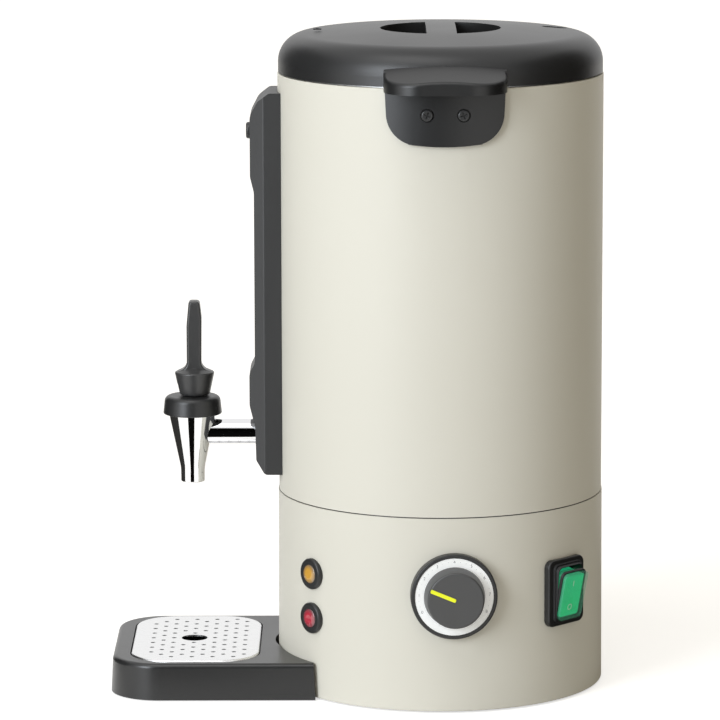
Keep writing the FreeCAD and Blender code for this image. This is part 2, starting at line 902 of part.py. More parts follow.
def make_thermostat():
    half = d.thermostat_side / 2
    back = -d.thermostat_inset - d.thermostat_depth
    box = padded("thermostat_box", rectangle(2 * half, 2 * half, 2), back, d.thermostat_depth)
    bush = rod("thermostat_bush", d.bush_radius, d.thermostat_inset + 3, spot(z=-d.thermostat_inset))
    bore = rod("thermostat_bore", d.shaft_radius + d.shaft_play, THROUGH, spot(z=back + 10))
    node(cut("thermostat_body", fuse("thermostat_solid", box, bush), bore, at=dial_spot), "thermostat_body")
    nut = rod("thermostat_nut_ring", d.nut_radius, d.nut_wall, spot(z=d.nut_seat))
    hole = rod("thermostat_nut_bore", d.bush_radius + d.seal_play, 10, spot(z=-2))
    node(cut("thermostat_nut", nut, hole, at=dial_spot), "thermostat_nut")


def dial_point(x, y, z):
    """A point of the dial's own frame, in the urn's frame."""
    azimuth = math.radians(d.dial_azimuth.value)
    out = Vector(math.cos(azimuth), math.sin(azimuth), 0)
    across = Vector(-out.y, out.x, 0)
    middle = out * dial_wall.value + Vector(0, 0, d.dial_height.value)
    return middle + across * x + Vector(0, 0, y) + out * z


def make_bulb():
    half = d.bulb_length.value / 2
    height = heater_bottom.value - d.bulb_radius.value
    start = Vector(-half, -d.bulb_offset.value, height)
    bulb = Part.makeCylinder(d.bulb_radius.value, 2 * half, start, Vector(1, 0, 0))
    end = Vector(half, start.y, height)
    depth = d.thermostat_inset.value + d.thermostat_depth.value / 2
    entry = dial_point(0, d.thermostat_side.value / 2 + 0.1, -depth)
    tail = routed_tube([end - Vector(1, 0, 0), end + Vector(14, 0, 0), end + Vector(14, -14, -8),
                        entry + Vector(8, 0, 22), entry + Vector(0, 0, 16), entry], d.capillary_radius.value)
    feature = doc.addObject("Part::Feature", "thermostat_bulb")
    feature.Shape = bulb.fuse(tail)
    node(feature, "thermostat_bulb")


def make_wiring():
    """Leads from the terminal block to the heater, the switch and the lamps."""
    top = plate_top.value + d.terminal_height.value
    middle = Vector(d.terminal_across.value, 0, top)
    leg_gap = math.radians((360 - d.element_sweep.value) / 2)
    ring = d.element_circle.value
    low = heater_bottom.value - d.element_radius.value - d.element_leg.value - d.element_post.value
    wires = []
    for side in (-1, 1):
        leg = Vector(ring * math.cos(leg_gap), ring * math.sin(leg_gap) * side, low)
        start = middle + Vector(0, 12 * side, 0)
        wires.append(routed_tube([start, start + Vector(0, 0, 20), leg - Vector(6, -4 * side, 30),
                                  leg - Vector(0, 0, 14), leg], d.wire_radius.value))
    feature = doc.addObject("Part::Feature", "wiring")
    feature.Shape = Part.makeCompound(wires)
    node(feature, "wiring")


def make_terminal_block():
    length, width = d.terminal_length, d.terminal_width
    base = block("terminal_base", width, length, d.terminal_height,
                 spot(d.terminal_across - width / 2, -length / 2, plate_top))
    slots = [rod(f"terminal_hole_{index}", d.terminal_hole, d.terminal_hole_depth + 1,
                 spot(d.terminal_across - OVERRUN, d.terminal_pitch * (index - 1),
                      plate_top + d.terminal_height - d.terminal_hole_depth)) for index in range(3)]
    node(cut("terminal_block", base, *slots), "terminal_block")


# Dial
def make_dial():
    wall_tool = rod("dial_wall_tool", dial_wall + 0.15, 2 * d.dial_radius + 20,
                    spot(y=-d.dial_radius - 10, z=-dial_wall, roll=-90))
    skirt_depth = dial_wall - root(dial_wall * dial_wall - d.dial_radius * d.dial_radius) + 1
    disc = turned("bezel_disc", [
        (0, -skirt_depth),
        (d.dial_radius, -skirt_depth),
        (d.dial_radius, d.dial_front, 1.2),
        (d.dial_plate_radius + d.fit_gap, d.dial_front),
        (d.dial_plate_radius + d.fit_gap, d.dial_front - d.dial_plate_wall - 0.4),
        (0, d.dial_front - d.dial_plate_wall - 0.4)])
    hole = rod("bezel_hole", d.nut_radius + d.fit_gap, 30, spot(z=-15))
    node(cut("dial_bezel", disc, wall_tool, hole, at=dial_spot), "dial_bezel")
    plate = tube("dial_plate", d.dial_plate_radius, d.nut_radius, d.dial_plate_wall)
    plate_back = dial_wall + d.dial_front - d.dial_plate_wall - 0.4
    node(put(plate, on_wall(d.dial_azimuth, plate_back, d.dial_height)), "dial_plate")


def make_knob():
    back = d.dial_front + d.knob_gap
    front = back + d.knob_height
    solid = turned("knob_solid", [
        (0, back),
        (d.knob_radius, back),
        (d.knob_front_radius, front, d.knob_round),
        (0, front)])
    slot_tool = padded("knob_slot", rectangle(d.pointer_length, d.pointer_width, x=d.pointer_length / 2),
                       front - 1, 5, at=spot(yaw=d.pointer_angle))
    hub = rod("knob_hub_bore", d.shaft_radius, d.knob_height - 4, spot(z=back))
    node(cut("control_knob", solid, slot_tool, hub, at=dial_spot), "control_knob")
    bar = padded("pointer_bar", rectangle(d.pointer_length - 0.2, d.pointer_width - 0.2, 1.0,
                                          x=d.pointer_length / 2),
                 front - 1, 1 + d.pointer_proud, at=spot(yaw=d.pointer_angle))
    node(group("knob_pointer", bar, at=dial_spot), "knob_pointer")
    start = -d.thermostat_inset - 8
    shaft = rod("thermostat_shaft_rod", d.shaft_radius, back + d.knob_height - 4 - start, spot(z=start))
    node(group("thermostat_shaft", shaft, at=dial_spot), "thermostat_shaft")


# Lamps
def make_lamp(colour, wall, at):
    tool = rod(f"{colour}_wall_tool", wall + 0.15, 60, spot(y=-30, z=-wall, roll=-90))
    cap = turned(f"{colour}_cap", [
        (0, -2),
        (d.lamp_radius, -2),
        (d.lamp_radius, d.lamp_front, 1.6),
        (d.lamp_lens_radius + d.seal_play, d.lamp_front),
        (d.lamp_lens_radius + d.seal_play, d.lamp_lens_seat - d.seal_play),
        (0, d.lamp_lens_seat - d.seal_play)])
    shaped = cut(f"{colour}_bezel", cap, tool)
    barrel = rod(f"{colour}_barrel", d.lamp_barrel, d.lamp_depth + d.lamp_lens_seat - d.seal_play,
                 spot(z=-d.lamp_depth))
    node(fuse(f"{colour}_lamp_housing", shaped, barrel, at=at), f"{colour}_lamp_housing")
    lens = turned(f"{colour}_lens", [
        (0, d.lamp_lens_seat),
        (d.lamp_lens_radius, d.lamp_lens_seat),
        (d.lamp_lens_radius, d.lamp_front + d.lamp_lens_proud / 5, 1.0),
        (d.lamp_lens_radius * 0.5, d.lamp_front + d.lamp_lens_proud, 6),
        (0, d.lamp_front + d.lamp_lens_proud)])
    node(group(f"{colour}_lamp_lens", lens, at=at), f"{colour}_lamp_lens")
    nut_back = -d.base_wall - d.lamp_nut_wall - d.lamp_nut_gap
    nut = tube(f"{colour}_nut", d.lamp_nut_radius, d.lamp_barrel + d.seal_play, d.lamp_nut_wall)
    return group(f"{colour}_nut_placed", put(nut, spot(z=nut_back)), at=at)


def make_lamps():
    nuts = [make_lamp("amber", amber_wall, amber_spot), make_lamp("red", red_wall, red_spot)]
    node(group("lamp_nuts", *nuts), "lamp_nuts")


# Rocker switch
def make_switch():
    tube_width = d.switch_mouth_width + 2 * d.switch_tube_wall
    tube_tall = d.switch_mouth_tall + 2 * d.switch_tube_wall
    tool = rod("switch_wall_tool", switch_wall + 0.15, 2 * d.switch_tall,
               spot(y=-d.switch_tall, z=-switch_wall, roll=-90))
    plate = padded("switch_plate", rectangle(d.switch_width, d.switch_tall, d.switch_corner), -3,
                   3 + d.switch_front)
    front = d.switch_front.value

    def front_rim(edge):
        return abs(edge.BoundBox.ZMin - front) < 0.01 and abs(edge.BoundBox.ZMax - front) < 0.01

    soft = rounded("switch_plate_soft", plate, d.switch_edge_round, front_rim)
    shaped = cut("switch_plate_shaped", soft, tool)
    sleeve = padded("switch_sleeve", rectangle(tube_width, tube_tall), -d.switch_tube_depth,
                    d.switch_tube_depth + 1)
    mouth = padded("switch_mouth", rectangle(d.switch_mouth_width, d.switch_mouth_tall),
                   -d.switch_tube_depth - 1, 30)
    pivot = rod("switch_pivot_hole", d.rocker_pin + d.rocker_pin_play, tube_width + 2,
                spot(-tube_width / 2 - 1, 0, d.rocker_pivot, pitch=90))
    solid = fuse("switch_frame_solid", shaped, sleeve)
    node(cut("switch_frame", solid, mouth, pivot, at=switch_spot), "switch_frame")
    back = padded("switch_back", rectangle(tube_width, tube_tall, 1),
                  -d.switch_tube_depth - d.switch_body_depth, d.switch_body_depth)
    blades = [padded(f"switch_blade_{index}", rectangle(6, 1, x=x, y=y),
                     -d.switch_tube_depth - d.switch_body_depth - 8, 9)
              for index, (x, y) in enumerate(((-7, -10), (7, -10), (-7, 8), (7, 8)))]
    node(fuse("switch_body", back, *blades, at=switch_spot), "switch_body")


def make_rocker():
    pivot = d.rocker_pivot
    depth = 3.2
    paddle = padded("rocker_paddle", rectangle(d.rocker_width, d.rocker_tall, 2),
                    -depth, d.rocker_front - pivot + depth)
    pin_half = d.switch_mouth_width / 2 + d.switch_tube_wall - 0.2
    pins = rod("rocker_pins", d.rocker_pin, 2 * pin_half, spot(-pin_half, 0, 0, pitch=90))
    tilt = spot(z=pivot, roll=d.switch_tilt)
    tilted = fuse("rocker_tilted", paddle, pins, at=tilt)
    node(group("switch_rocker", tilted, at=switch_spot), "switch_rocker")
    inner_width = d.rocker_width + 2 * d.boot_gap
    inner_tall = d.rocker_tall + 2 * d.boot_gap
    front = d.boot_front - pivot
    back = d.boot_back - pivot
    hood = padded("boot_outside", rectangle(inner_width + 2 * d.boot_wall, inner_tall + 2 * d.boot_wall, 3),
                  back, front - back)
    room = padded("boot_inside", rectangle(inner_width, inner_tall, 2), back - 1,
                  d.rocker_front - pivot - back + 1)
    boot = cut("boot_tilted", hood, room, at=tilt)
    node(group("switch_boot", boot, at=switch_spot), "switch_boot")


# Cord inlet
def make_gland():
    tool = rod("gland_wall_tool", gland_wall + 0.15, 60, spot(y=-30, z=-gland_wall, roll=-90))
    flange = turned("gland_flange", [
        (0, -2),
        (d.gland_radius, -2),
        (d.gland_radius, d.gland_rim, 1),
        (d.gland_bore + d.gland_lip, d.gland_front, 1),
        (0, d.gland_front)])
    barrel = rod("gland_barrel_rod", d.gland_barrel, d.gland_depth + 1, spot(z=-d.gland_depth))
    bore = rod("gland_bore_rod", d.gland_bore, THROUGH, spot(z=-THROUGH / 2))
    solid = fuse("gland_solid", cut("gland_shaped", flange, tool), barrel)
    node(cut("cord_gland", solid, bore, at=gland_spot), "cord_gland")
    nut = tube("gland_nut_tube", d.gland_radius, d.gland_barrel + d.seal_play, d.gland_nut_wall)
    nut_back = -d.base_wall - d.gland_nut_wall - d.gland_nut_gap
    node(group("gland_nut", put(nut, spot(z=nut_back)), at=gland_spot), "gland_nut")


# Side handles
def make_handle(side, turn):
    """One handle, made at -Y and turned about the axis: a curved plate and the grip flange."""
    near = d.body_radius + d.handle_clear
    half = d.handle_half
    low = d.handle_bottom
    shoulder = half - d.handle_taper
    plate = padded(f"{side}_plate_outline", [
        (0, low - d.handle_sag, d.handle_plate_round),
        (shoulder, low + d.handle_belly, d.handle_shoulder_round),
        (half, d.handle_top),
        (-half, d.handle_top),
        (-shoulder, low + d.handle_belly, d.handle_shoulder_round)], near - 40, 100, plane="XZ_Plane")
    front = tube(f"{side}_plate_tube", d.handle_plate_front, near, d.handle_top - low + 10,
                 spot(z=low - 5))
    apron = common(f"{side}_apron", plate, front)
    grip = padded(f"{side}_grip", [
        (-half, -near + 30),
        (-half, -d.handle_reach, d.handle_corner),
        (half, -d.handle_reach, d.handle_corner),
        (half, -near + 30)], d.handle_flange_bottom, 30)
    far_back = 120
    lean_rise = sine(d.handle_lean) / cosine(d.handle_lean)
    crown_start = (d.handle_top + (far_back - d.handle_crown * sine(d.handle_lean)) * lean_rise
                   - d.handle_crown * cosine(d.handle_lean))
    crown_spot = spot(0, far_back - near, crown_start, roll=90 + d.handle_lean)
    crown = rod(f"{side}_crown", d.handle_crown, 2 * far_back, crown_spot)
    hollow = rod(f"{side}_hollow", near, 100, spot(z=d.handle_flange_bottom - 10))
    flange = cut(f"{side}_flange", common(f"{side}_grip_crowned", grip, crown), hollow)
    doc.recompute()
    limit = d.handle_flange_bottom.value + 2

    def on_top_edge(edge):
        box = edge.BoundBox
        far = box.YMin < -near.value - 1
        return box.ZMin > limit and far and not inner_edge(edge)

    def inner_edge(edge):
        ends = [edge.valueAt(edge.FirstParameter), edge.valueAt(edge.LastParameter),
                edge.valueAt((edge.FirstParameter + edge.LastParameter) / 2)]
        return all(abs(math.hypot(end.x, end.y) - near.value) < 0.01 for end in ends)

    soft = rounded(f"{side}_soft", flange, d.handle_edge_round, on_top_edge)
    cap = common(f"{side}_apron_capped", apron,
                 rod(f"{side}_crown_copy", d.handle_crown, 2 * far_back, crown_spot))
    solid = fuse(f"{side}_solid", cap, soft)
    holes = []
    for index, sign in enumerate((-1, 1)):
        across = d.handle_screw_spread / 2 * sign
        holes.append(rod(f"{side}_screw_hole_{index}", d.handle_screw_radius + d.fit_gap, THROUGH,
                         spot(across, -near + OVERRUN, d.handle_screw_height, roll=90)))
        holes.append(rod(f"{side}_screw_sink_{index}", d.handle_screw_head + d.handle_screw_play, THROUGH,
                         spot(across, -handle_screw_seat(), d.handle_screw_height, roll=90)))
    node(cut(f"{side}_handle", solid, *holes, at=spot(yaw=turn)), f"{side}_handle")


def handle_screw_seat():
    """Distance from the axis of the faces that the screw heads press on."""
    inner = d.handle_screw_spread / 2 - d.handle_screw_head
    return root(d.handle_plate_front * d.handle_plate_front - inner * inner) - d.handle_screw_sink


def cross_recess(name, front, at):
    """Two crossed slots that a screwdriver fits, cut from a head's front inwards."""
    long = 2 * d.recess_reach
    slots = [block(f"{name}_{index}", length, width, d.recess_depth + 1,
                   spot(-length / 2, -width / 2, front - d.recess_depth))
             for index, (length, width) in enumerate(((long, d.recess_width), (d.recess_width, long)))]
    return fuse(name, *slots, at=at)


def make_handles():
    make_handle("front", d.handle_turn)
    make_handle("rear", d.handle_turn + 180)
    screws = []
    head_back = handle_screw_seat()
    for side, turn in (("front", d.handle_turn), ("rear", d.handle_turn + 180)):
        for index, sign in enumerate((-1, 1)):
            tip = shell_bore - 3.4
            screw = turned(f"{side}_screw_{index}", [
                (0, tip),
                (d.handle_screw_radius, tip),
                (d.handle_screw_radius, head_back),
                (d.handle_screw_head, head_back),
                (d.handle_screw_head, head_back + d.handle_screw_head_wall, 1.4),
                (0, head_back + d.handle_screw_head_wall)])
            recess = cross_recess(f"{side}_recess_{index}", head_back + d.handle_screw_head_wall,
                                  spot(yaw=20 * sign))
            placed = cut(f"{side}_screw_{index}_recessed", screw, recess,
                         at=spot(d.handle_screw_spread / 2 * sign, 0, d.handle_screw_height, roll=90))
            screws.append(group(f"{side}_screw_{index}_turned", placed, at=spot(yaw=turn)))
    node(group("handle_screws", *screws), "handle_screws")


# Gauge housing
def housing_profile(inset):
    """Side view of the housing, (x, z), drawn in by an inset."""
    low = housing_bottom + inset
    high = d.housing_top - inset
    side = d.housing_side - inset
    face = d.housing_face - inset
    upper = d.housing_upper - inset
    lower = d.housing_lower - inset
    back = -lip_radius
    return [
        (back, low),
        (-side, low, 4),
        (-face + 0.6, low + 10, 4),
        (-face, low + 34, 20),
        (-lower, low + 50, 12),
        (-lower, window_bottom - 14, 12),
        (-face, window_bottom - 7, 12),
        (-face, d.window_top + 8, 12),
        (-upper, d.window_top + 19, 12),
        (-upper, high - 17, 12),
        (-face + 3, high - 6, 9),
        (-side + 4, high, 4),
        (back, high)]


def housing_section(inset):
    """Plan of the housing, (x, y): straight sides, then a slope to the narrow outer face."""
    half = d.housing_half - inset
    narrow = d.housing_face_half - inset
    side = d.housing_side - inset
    far = d.housing_lower + 4
    back = -lip_radius
    return [
        (back, -half),
        (back, half),
        (-side, half, 2),
        (-far, narrow - 2),
        (-far, -narrow + 2),
        (-side, -half, 2)]


def make_gauge_housing():
    width = 2 * d.housing_half + 20
    tall = d.housing_top - housing_bottom + 20

    def solid(name, inset):
        side_view = padded(f"{name}_side", housing_profile(inset), -width / 2, width, plane="XZ_Plane")
        plan = padded(f"{name}_plan", housing_section(inset), housing_bottom - 10, tall)
        return common(name, side_view, plan)

    near = rod("housing_near", d.body_radius + d.handle_clear, tall, spot(z=housing_bottom - 10))
    window = padded("housing_window", rectangle(2 * d.window_half, d.window_top - window_bottom, 5,
                                                y=(d.window_top + window_bottom) / 2),
                    0, 60, at=spot(x=-d.glass_axis - 40, yaw=90, roll=90))
    pipe = rod("housing_pipe_hole", d.pipe_radius + d.fit_gap, 60,
               spot(x=-d.body_radius, z=pipe_height, pitch=-90))
    screw = rod("housing_screw_hole", d.gauge_screw_shank + d.fit_gap, 60,
                spot(x=-lip_radius, y=-d.gauge_screw_offset, z=d.gauge_screw_height, pitch=-90))
    node(cut("gauge_housing", solid("housing_outside", as_size(0)), solid("housing_inside", d.housing_wall),
             near, window, pipe, screw), "gauge_housing")


def make_gauge():
    axis = -d.glass_axis
    glass = tube("gauge_glass", d.glass_radius, d.glass_radius - d.glass_wall, d.glass_top - glass_bottom,
                 spot(x=axis, z=glass_bottom))
    node(glass, "gauge_glass")
    pieces = []
    for name, height, cup_low, cup_high in (
            ("lower", elbow_lower, elbow_lower - d.elbow_end, glass_bottom + d.elbow_socket),
            ("upper", d.elbow_upper, d.glass_top - d.elbow_socket, d.elbow_upper + d.elbow_end)):
        start = -d.tank_radius + d.elbow_inside
        long = d.glass_axis + start
        arm = rod(f"{name}_arm", d.elbow_radius, long, spot(x=start, z=height, pitch=-90))
        cup = rod(f"{name}_cup", d.elbow_cup, cup_high - cup_low, spot(x=axis, z=cup_low))
        arm_bore = rod(f"{name}_arm_bore", d.elbow_bore, long, spot(x=start, z=height, pitch=-90))
        lower = name == "lower"
        bore_low = elbow_lower if lower else cup_low
        bore_high = cup_high if lower else d.elbow_upper
        bore = rod(f"{name}_cup_bore", d.elbow_bore, bore_high - bore_low, spot(x=axis, z=bore_low))
        seat_low = glass_bottom - d.fit_gap if lower else cup_low - 1
        seat_high = cup_high + 1 if lower else d.glass_top + d.fit_gap
        seat = rod(f"{name}_seat", d.glass_radius + d.seal_width, seat_high - seat_low,
                   spot(x=axis, z=seat_low))
        pieces.append(cut(f"{name}_elbow", fuse(f"{name}_elbow_solid", arm, cup), arm_bore, bore, seat))
    node(group("gauge_elbows", *pieces), "gauge_elbows")
    seals = [tube(f"gauge_seal_{index}", d.glass_radius + d.seal_width - d.seal_play,
                  d.glass_radius + d.seal_play, d.seal_length, spot(x=axis, z=height))
             for index, height in enumerate((glass_bottom + 1, d.glass_top - d.seal_length - 1))]
    node(group("gauge_seals", *seals), "gauge_seals")
    head = d.housing_upper + d.seal_play
    turned_screw = turned("gauge_screw_turn", [
        (0, lip_radius + 3),
        (d.gauge_screw_shank, lip_radius + 3),
        (d.gauge_screw_shank, head),
        (d.gauge_screw_radius, head),
        (d.gauge_screw_radius, d.gauge_screw_reach, 1.5),
        (0, d.gauge_screw_reach)])
    recess = cross_recess("gauge_screw_recess", d.gauge_screw_reach, spot(yaw=30))
    node(cut("gauge_screw", turned_screw, recess,
             at=spot(y=-d.gauge_screw_offset, z=d.gauge_screw_height, pitch=-90)), "gauge_screw")


# Tap
def make_tap_body():
    x = -d.tap_reach
    inner_top = d.spout_radius - d.spout_wall
    spout = turned("spout_outside", [
        (0, spout_bottom),
        (d.spout_tip_radius, spout_bottom, 0.8),
        (d.spout_tip_radius + 0.1, spout_neck, 25),
        (d.spout_radius, spout_top),
        (0, spout_top)], spot(x=x))
    inner = turned("spout_inside", [
        (0, spout_bottom - 1),
        (d.spout_bore, spout_bottom - 1),
        (d.spout_bore, spout_seat),
        (inner_top, spout_top - 3),
        (inner_top, spout_top + 1),
        (0, spout_top + 1)], spot(x=x))
    arm = rod("tap_arm", d.pipe_radius, d.tap_reach - d.housing_side + 3,
              spot(x=-d.housing_side + 3, z=pipe_height, pitch=-90))
    shank = rod("tap_shank", d.shank_radius, d.housing_side - 3 - d.shank_inside + 1,
                spot(x=-d.shank_inside, z=pipe_height, pitch=-90))
    bore = rod("tap_bore", d.pipe_bore, d.tap_reach - d.shank_inside,
               spot(x=-d.shank_inside, z=pipe_height, pitch=-90))
    solid = fuse("tap_solid", spout, arm, shank)
    node(cut("tap_body", solid, inner, bore), "tap_body")
    ring = d.shank_radius + d.fit_gap
    nut = tube("tap_nut_ring", d.tap_nut_radius, ring, d.tap_nut_wall,
               spot(x=-d.tank_radius + d.tank_wall + d.washer_wall + 2.4, z=pipe_height, pitch=90))
    node(group("tap_nut", nut), "tap_nut")
    washers = [
        tube("tap_washer_in", d.washer_radius, ring, d.washer_wall,
             spot(x=-d.tank_radius + d.tank_wall + 2.2, z=pipe_height, pitch=90)),
        tube("tap_washer_out", d.washer_radius, ring, d.washer_wall,
             spot(x=-d.body_radius - d.washer_wall - 0.1, z=pipe_height, pitch=90))]
    node(group("tap_washers", *washers), "tap_washers")


def make_bonnet():
    skirt = d.spout_radius + 0.3
    cap = turned("bonnet_solid", [
        (d.stem_radius + d.stem_play, bonnet_top - d.bonnet_wall),
        (skirt, bonnet_top - d.bonnet_wall),
        (skirt, bonnet_bottom),
        (d.bonnet_radius, bonnet_bottom, 0.8),
        (d.bonnet_radius - 1.4, bonnet_top, d.bonnet_round),
        (d.stem_radius + d.stem_play, bonnet_top)], spot(x=-d.tap_reach))
    node(cap, "bonnet_cap")


def make_stem():
    x = -d.tap_reach
    top = lever_pivot + d.pin_radius / 2
    bottom = spout_seat + 0.6
    collar = stem_collar_height
    rod_part = turned("stem_turn", [
        (0, bottom),
        (d.stem_radius, bottom),
        (d.stem_radius, collar),
        (d.stem_collar, collar),
        (d.stem_collar, collar + d.stem_collar_wall),
        (d.stem_radius, collar + d.stem_collar_wall),
        (d.stem_radius, top),
        (0, top)], spot(x=x))
    hole = rod("stem_pin_hole", d.pin_radius, 20,
               spot(x=x + d.lever_shift, y=10, z=lever_pivot, roll=90))
    eye_half = d.stem_radius - d.fit_gap
    eye = rod("stem_eye", d.stem_eye, 2 * eye_half,
              spot(x=x + d.lever_shift, y=eye_half, z=lever_pivot, roll=90))
    node(cut("valve_stem", fuse("stem_solid", rod_part, eye), hole), "valve_stem")
    slope = (d.spout_radius - d.spout_wall - d.spout_bore) / (spout_top - 3 - spout_seat)
    plug_low = spout_seat - 2
    plug = turned("plug_turn", [
        (0, plug_low),
        (d.spout_bore - 0.4, plug_low),
        (d.spout_bore - 0.4, spout_seat),
        (d.spout_bore - 0.4 + slope * d.plug_height, spout_seat + d.plug_height),
        (d.stem_radius + 1, spout_seat + d.plug_height + 3),
        (0, spout_seat + d.plug_height + 3)], spot(x=x))
    bore = rod("plug_bore", d.stem_radius, 40, spot(x=x, z=bottom))
    node(cut("valve_plug", plug, bore), "valve_plug")
    pin = rod("lever_pin", d.pin_radius, 2 * d.pin_half,
              spot(x=x + d.lever_shift, y=d.pin_half, z=lever_pivot, roll=90))
    node(pin, "lever_pin")


def biarc(start, start_way, end, end_way):
    """Two arcs from start to end that leave and arrive along the given unit directions."""
    chord = end - start
    ways = start_way + end_way
    bend = 2 * (1 - start_way.dot(end_way))
    along = chord.dot(ways)
    reach = (-along + math.sqrt(along * along + bend * chord.dot(chord))) / bend
    joint = (start + start_way * reach + end - end_way * reach) * 0.5
    arcs = []
    for first, apex, last in ((start, start + start_way * reach, joint), (joint, end - end_way * reach, end)):
        middle = (first + last) * 0.5
        height = (apex - middle).Length
        half = (first - middle).Length
        radius = half * reach / height
        crest = middle + (apex - middle) * ((radius - math.sqrt(radius * radius - half * half)) / height)
        arcs.append(Part.Arc(first, crest, last).toShape())
    return arcs


def make_spring():
    """A coil round the stem, between its collar and the bonnet."""
    radius = d.spring_circle.value
    wire = d.spring_wire.value
    low = (stem_collar_height + d.stem_collar_wall).value + wire + 0.1
    high = (bonnet_top - d.bonnet_wall).value - wire - 0.1
    turns = d.spring_turns.value
    rise = (high - low) / (turns * 2 * math.pi)
    steps = int(turns * 4)
    tilt = math.hypot(radius, rise)

    def at(angle):
        return Vector(radius * math.cos(angle), radius * math.sin(angle), low + rise * angle)

    def way(angle):
        return Vector(-radius * math.sin(angle), radius * math.cos(angle), rise) * (1 / tilt)

    edges = []
    for step in range(steps):
        first = step * math.pi / 2
        last = first + math.pi / 2
        edges += biarc(at(first), way(first), at(last), way(last))
    section = Part.Wire([Part.Circle(at(0), way(0), wire).toShape()])
    shape = Part.Wire(edges).makePipeShell([section], True, False)
    feature = doc.addObject("Part::Feature", "tap_spring")
    feature.Shape = shape
    feature.Placement = Placement(Vector(-d.tap_reach.value, 0, 0), Rotation())
    node(feature, "tap_spring")
    print("spring: least gap between turns", round(rise * 2 * math.pi - 2 * wire, 3))


def make_lever():
    """A round cup for a heel, and the soft-edged blade that stands in it."""
    x = -d.tap_reach
    middle = x + d.lever_shift
    heel = d.lever_heel_half
    wing = d.lever_wing_half
    stem = d.lever_stem_half
    cup = turned("lever_cup", [
        (0, lever_bottom),
        (heel, lever_bottom, d.lever_heel_round),
        (wing, lever_wing, 1.2),
        (stem, lever_neck, 3),
        (stem - 1, lever_neck + 4),
        (0, lever_neck + 4)], spot(x=middle))
    blade = padded("lever_outline", [
        (middle - heel + 1, lever_bottom + 1, d.lever_wing_round),
        (middle + heel - 1, lever_bottom + 1, d.lever_wing_round),
        (middle + wing - 0.6, lever_wing, d.lever_wing_round),
        (middle + stem - 0.4, lever_neck, d.lever_neck_round),
        (middle + stem, lever_top - 12, 30),
        (middle + stem - 1.4, lever_top, 2.6),
        (middle - stem + 1.6, lever_top, 2.2),
        (middle - stem - 0.1, lever_top - 18, 40),
        (middle - stem - 0.1, lever_neck, d.lever_neck_round),
        (middle - wing + 0.6, lever_wing, d.lever_wing_round)],
        -d.lever_half_depth, 2 * d.lever_half_depth, plane="XZ_Plane")
    flat = d.lever_half_depth.value

    def face_rim(edge):
        box = edge.BoundBox
        return box.YMax - box.YMin < 0.01 and abs(abs(box.YMin) - flat) < 0.01

    soft = rounded("lever_soft", blade, d.lever_edge_round, face_rim)
    fork_half = d.stem_radius + d.fork_gap
    eye = d.stem_eye + d.fork_gap + d.fit_gap
    fork = padded("lever_fork", [
        (middle + eye, lever_bottom - 1),
        (middle + eye, lever_pivot + eye),
        (x - d.stem_radius - 1.2, lever_pivot + eye),
        (middle - wing - 4, lever_bottom + 6),
        (middle - wing - 4, lever_bottom - 1)], -fork_half, 2 * fork_half, plane="XZ_Plane")
    bore = rod("lever_bore", d.pin_radius + d.pin_play, THROUGH / 2 + d.pin_half + d.fit_gap,
               spot(x=middle, y=THROUGH / 2, z=lever_pivot, roll=90))
    node(cut("tap_lever", fuse("lever_solid", cup, soft), fork, bore), "tap_lever")


# Lid
def dome(name, inset, low):
    """The lid's outer form, drawn in by an inset, down to a height."""
    return turned(name, [
        (0, low),
        (d.lid_radius - inset, low),
        (d.lid_radius - inset, d.lid_edge - inset, d.lid_round - inset),
        (d.lid_crown_start, d.lid_apex - inset, d.lid_crown - inset),
        (0, d.lid_apex - inset)])


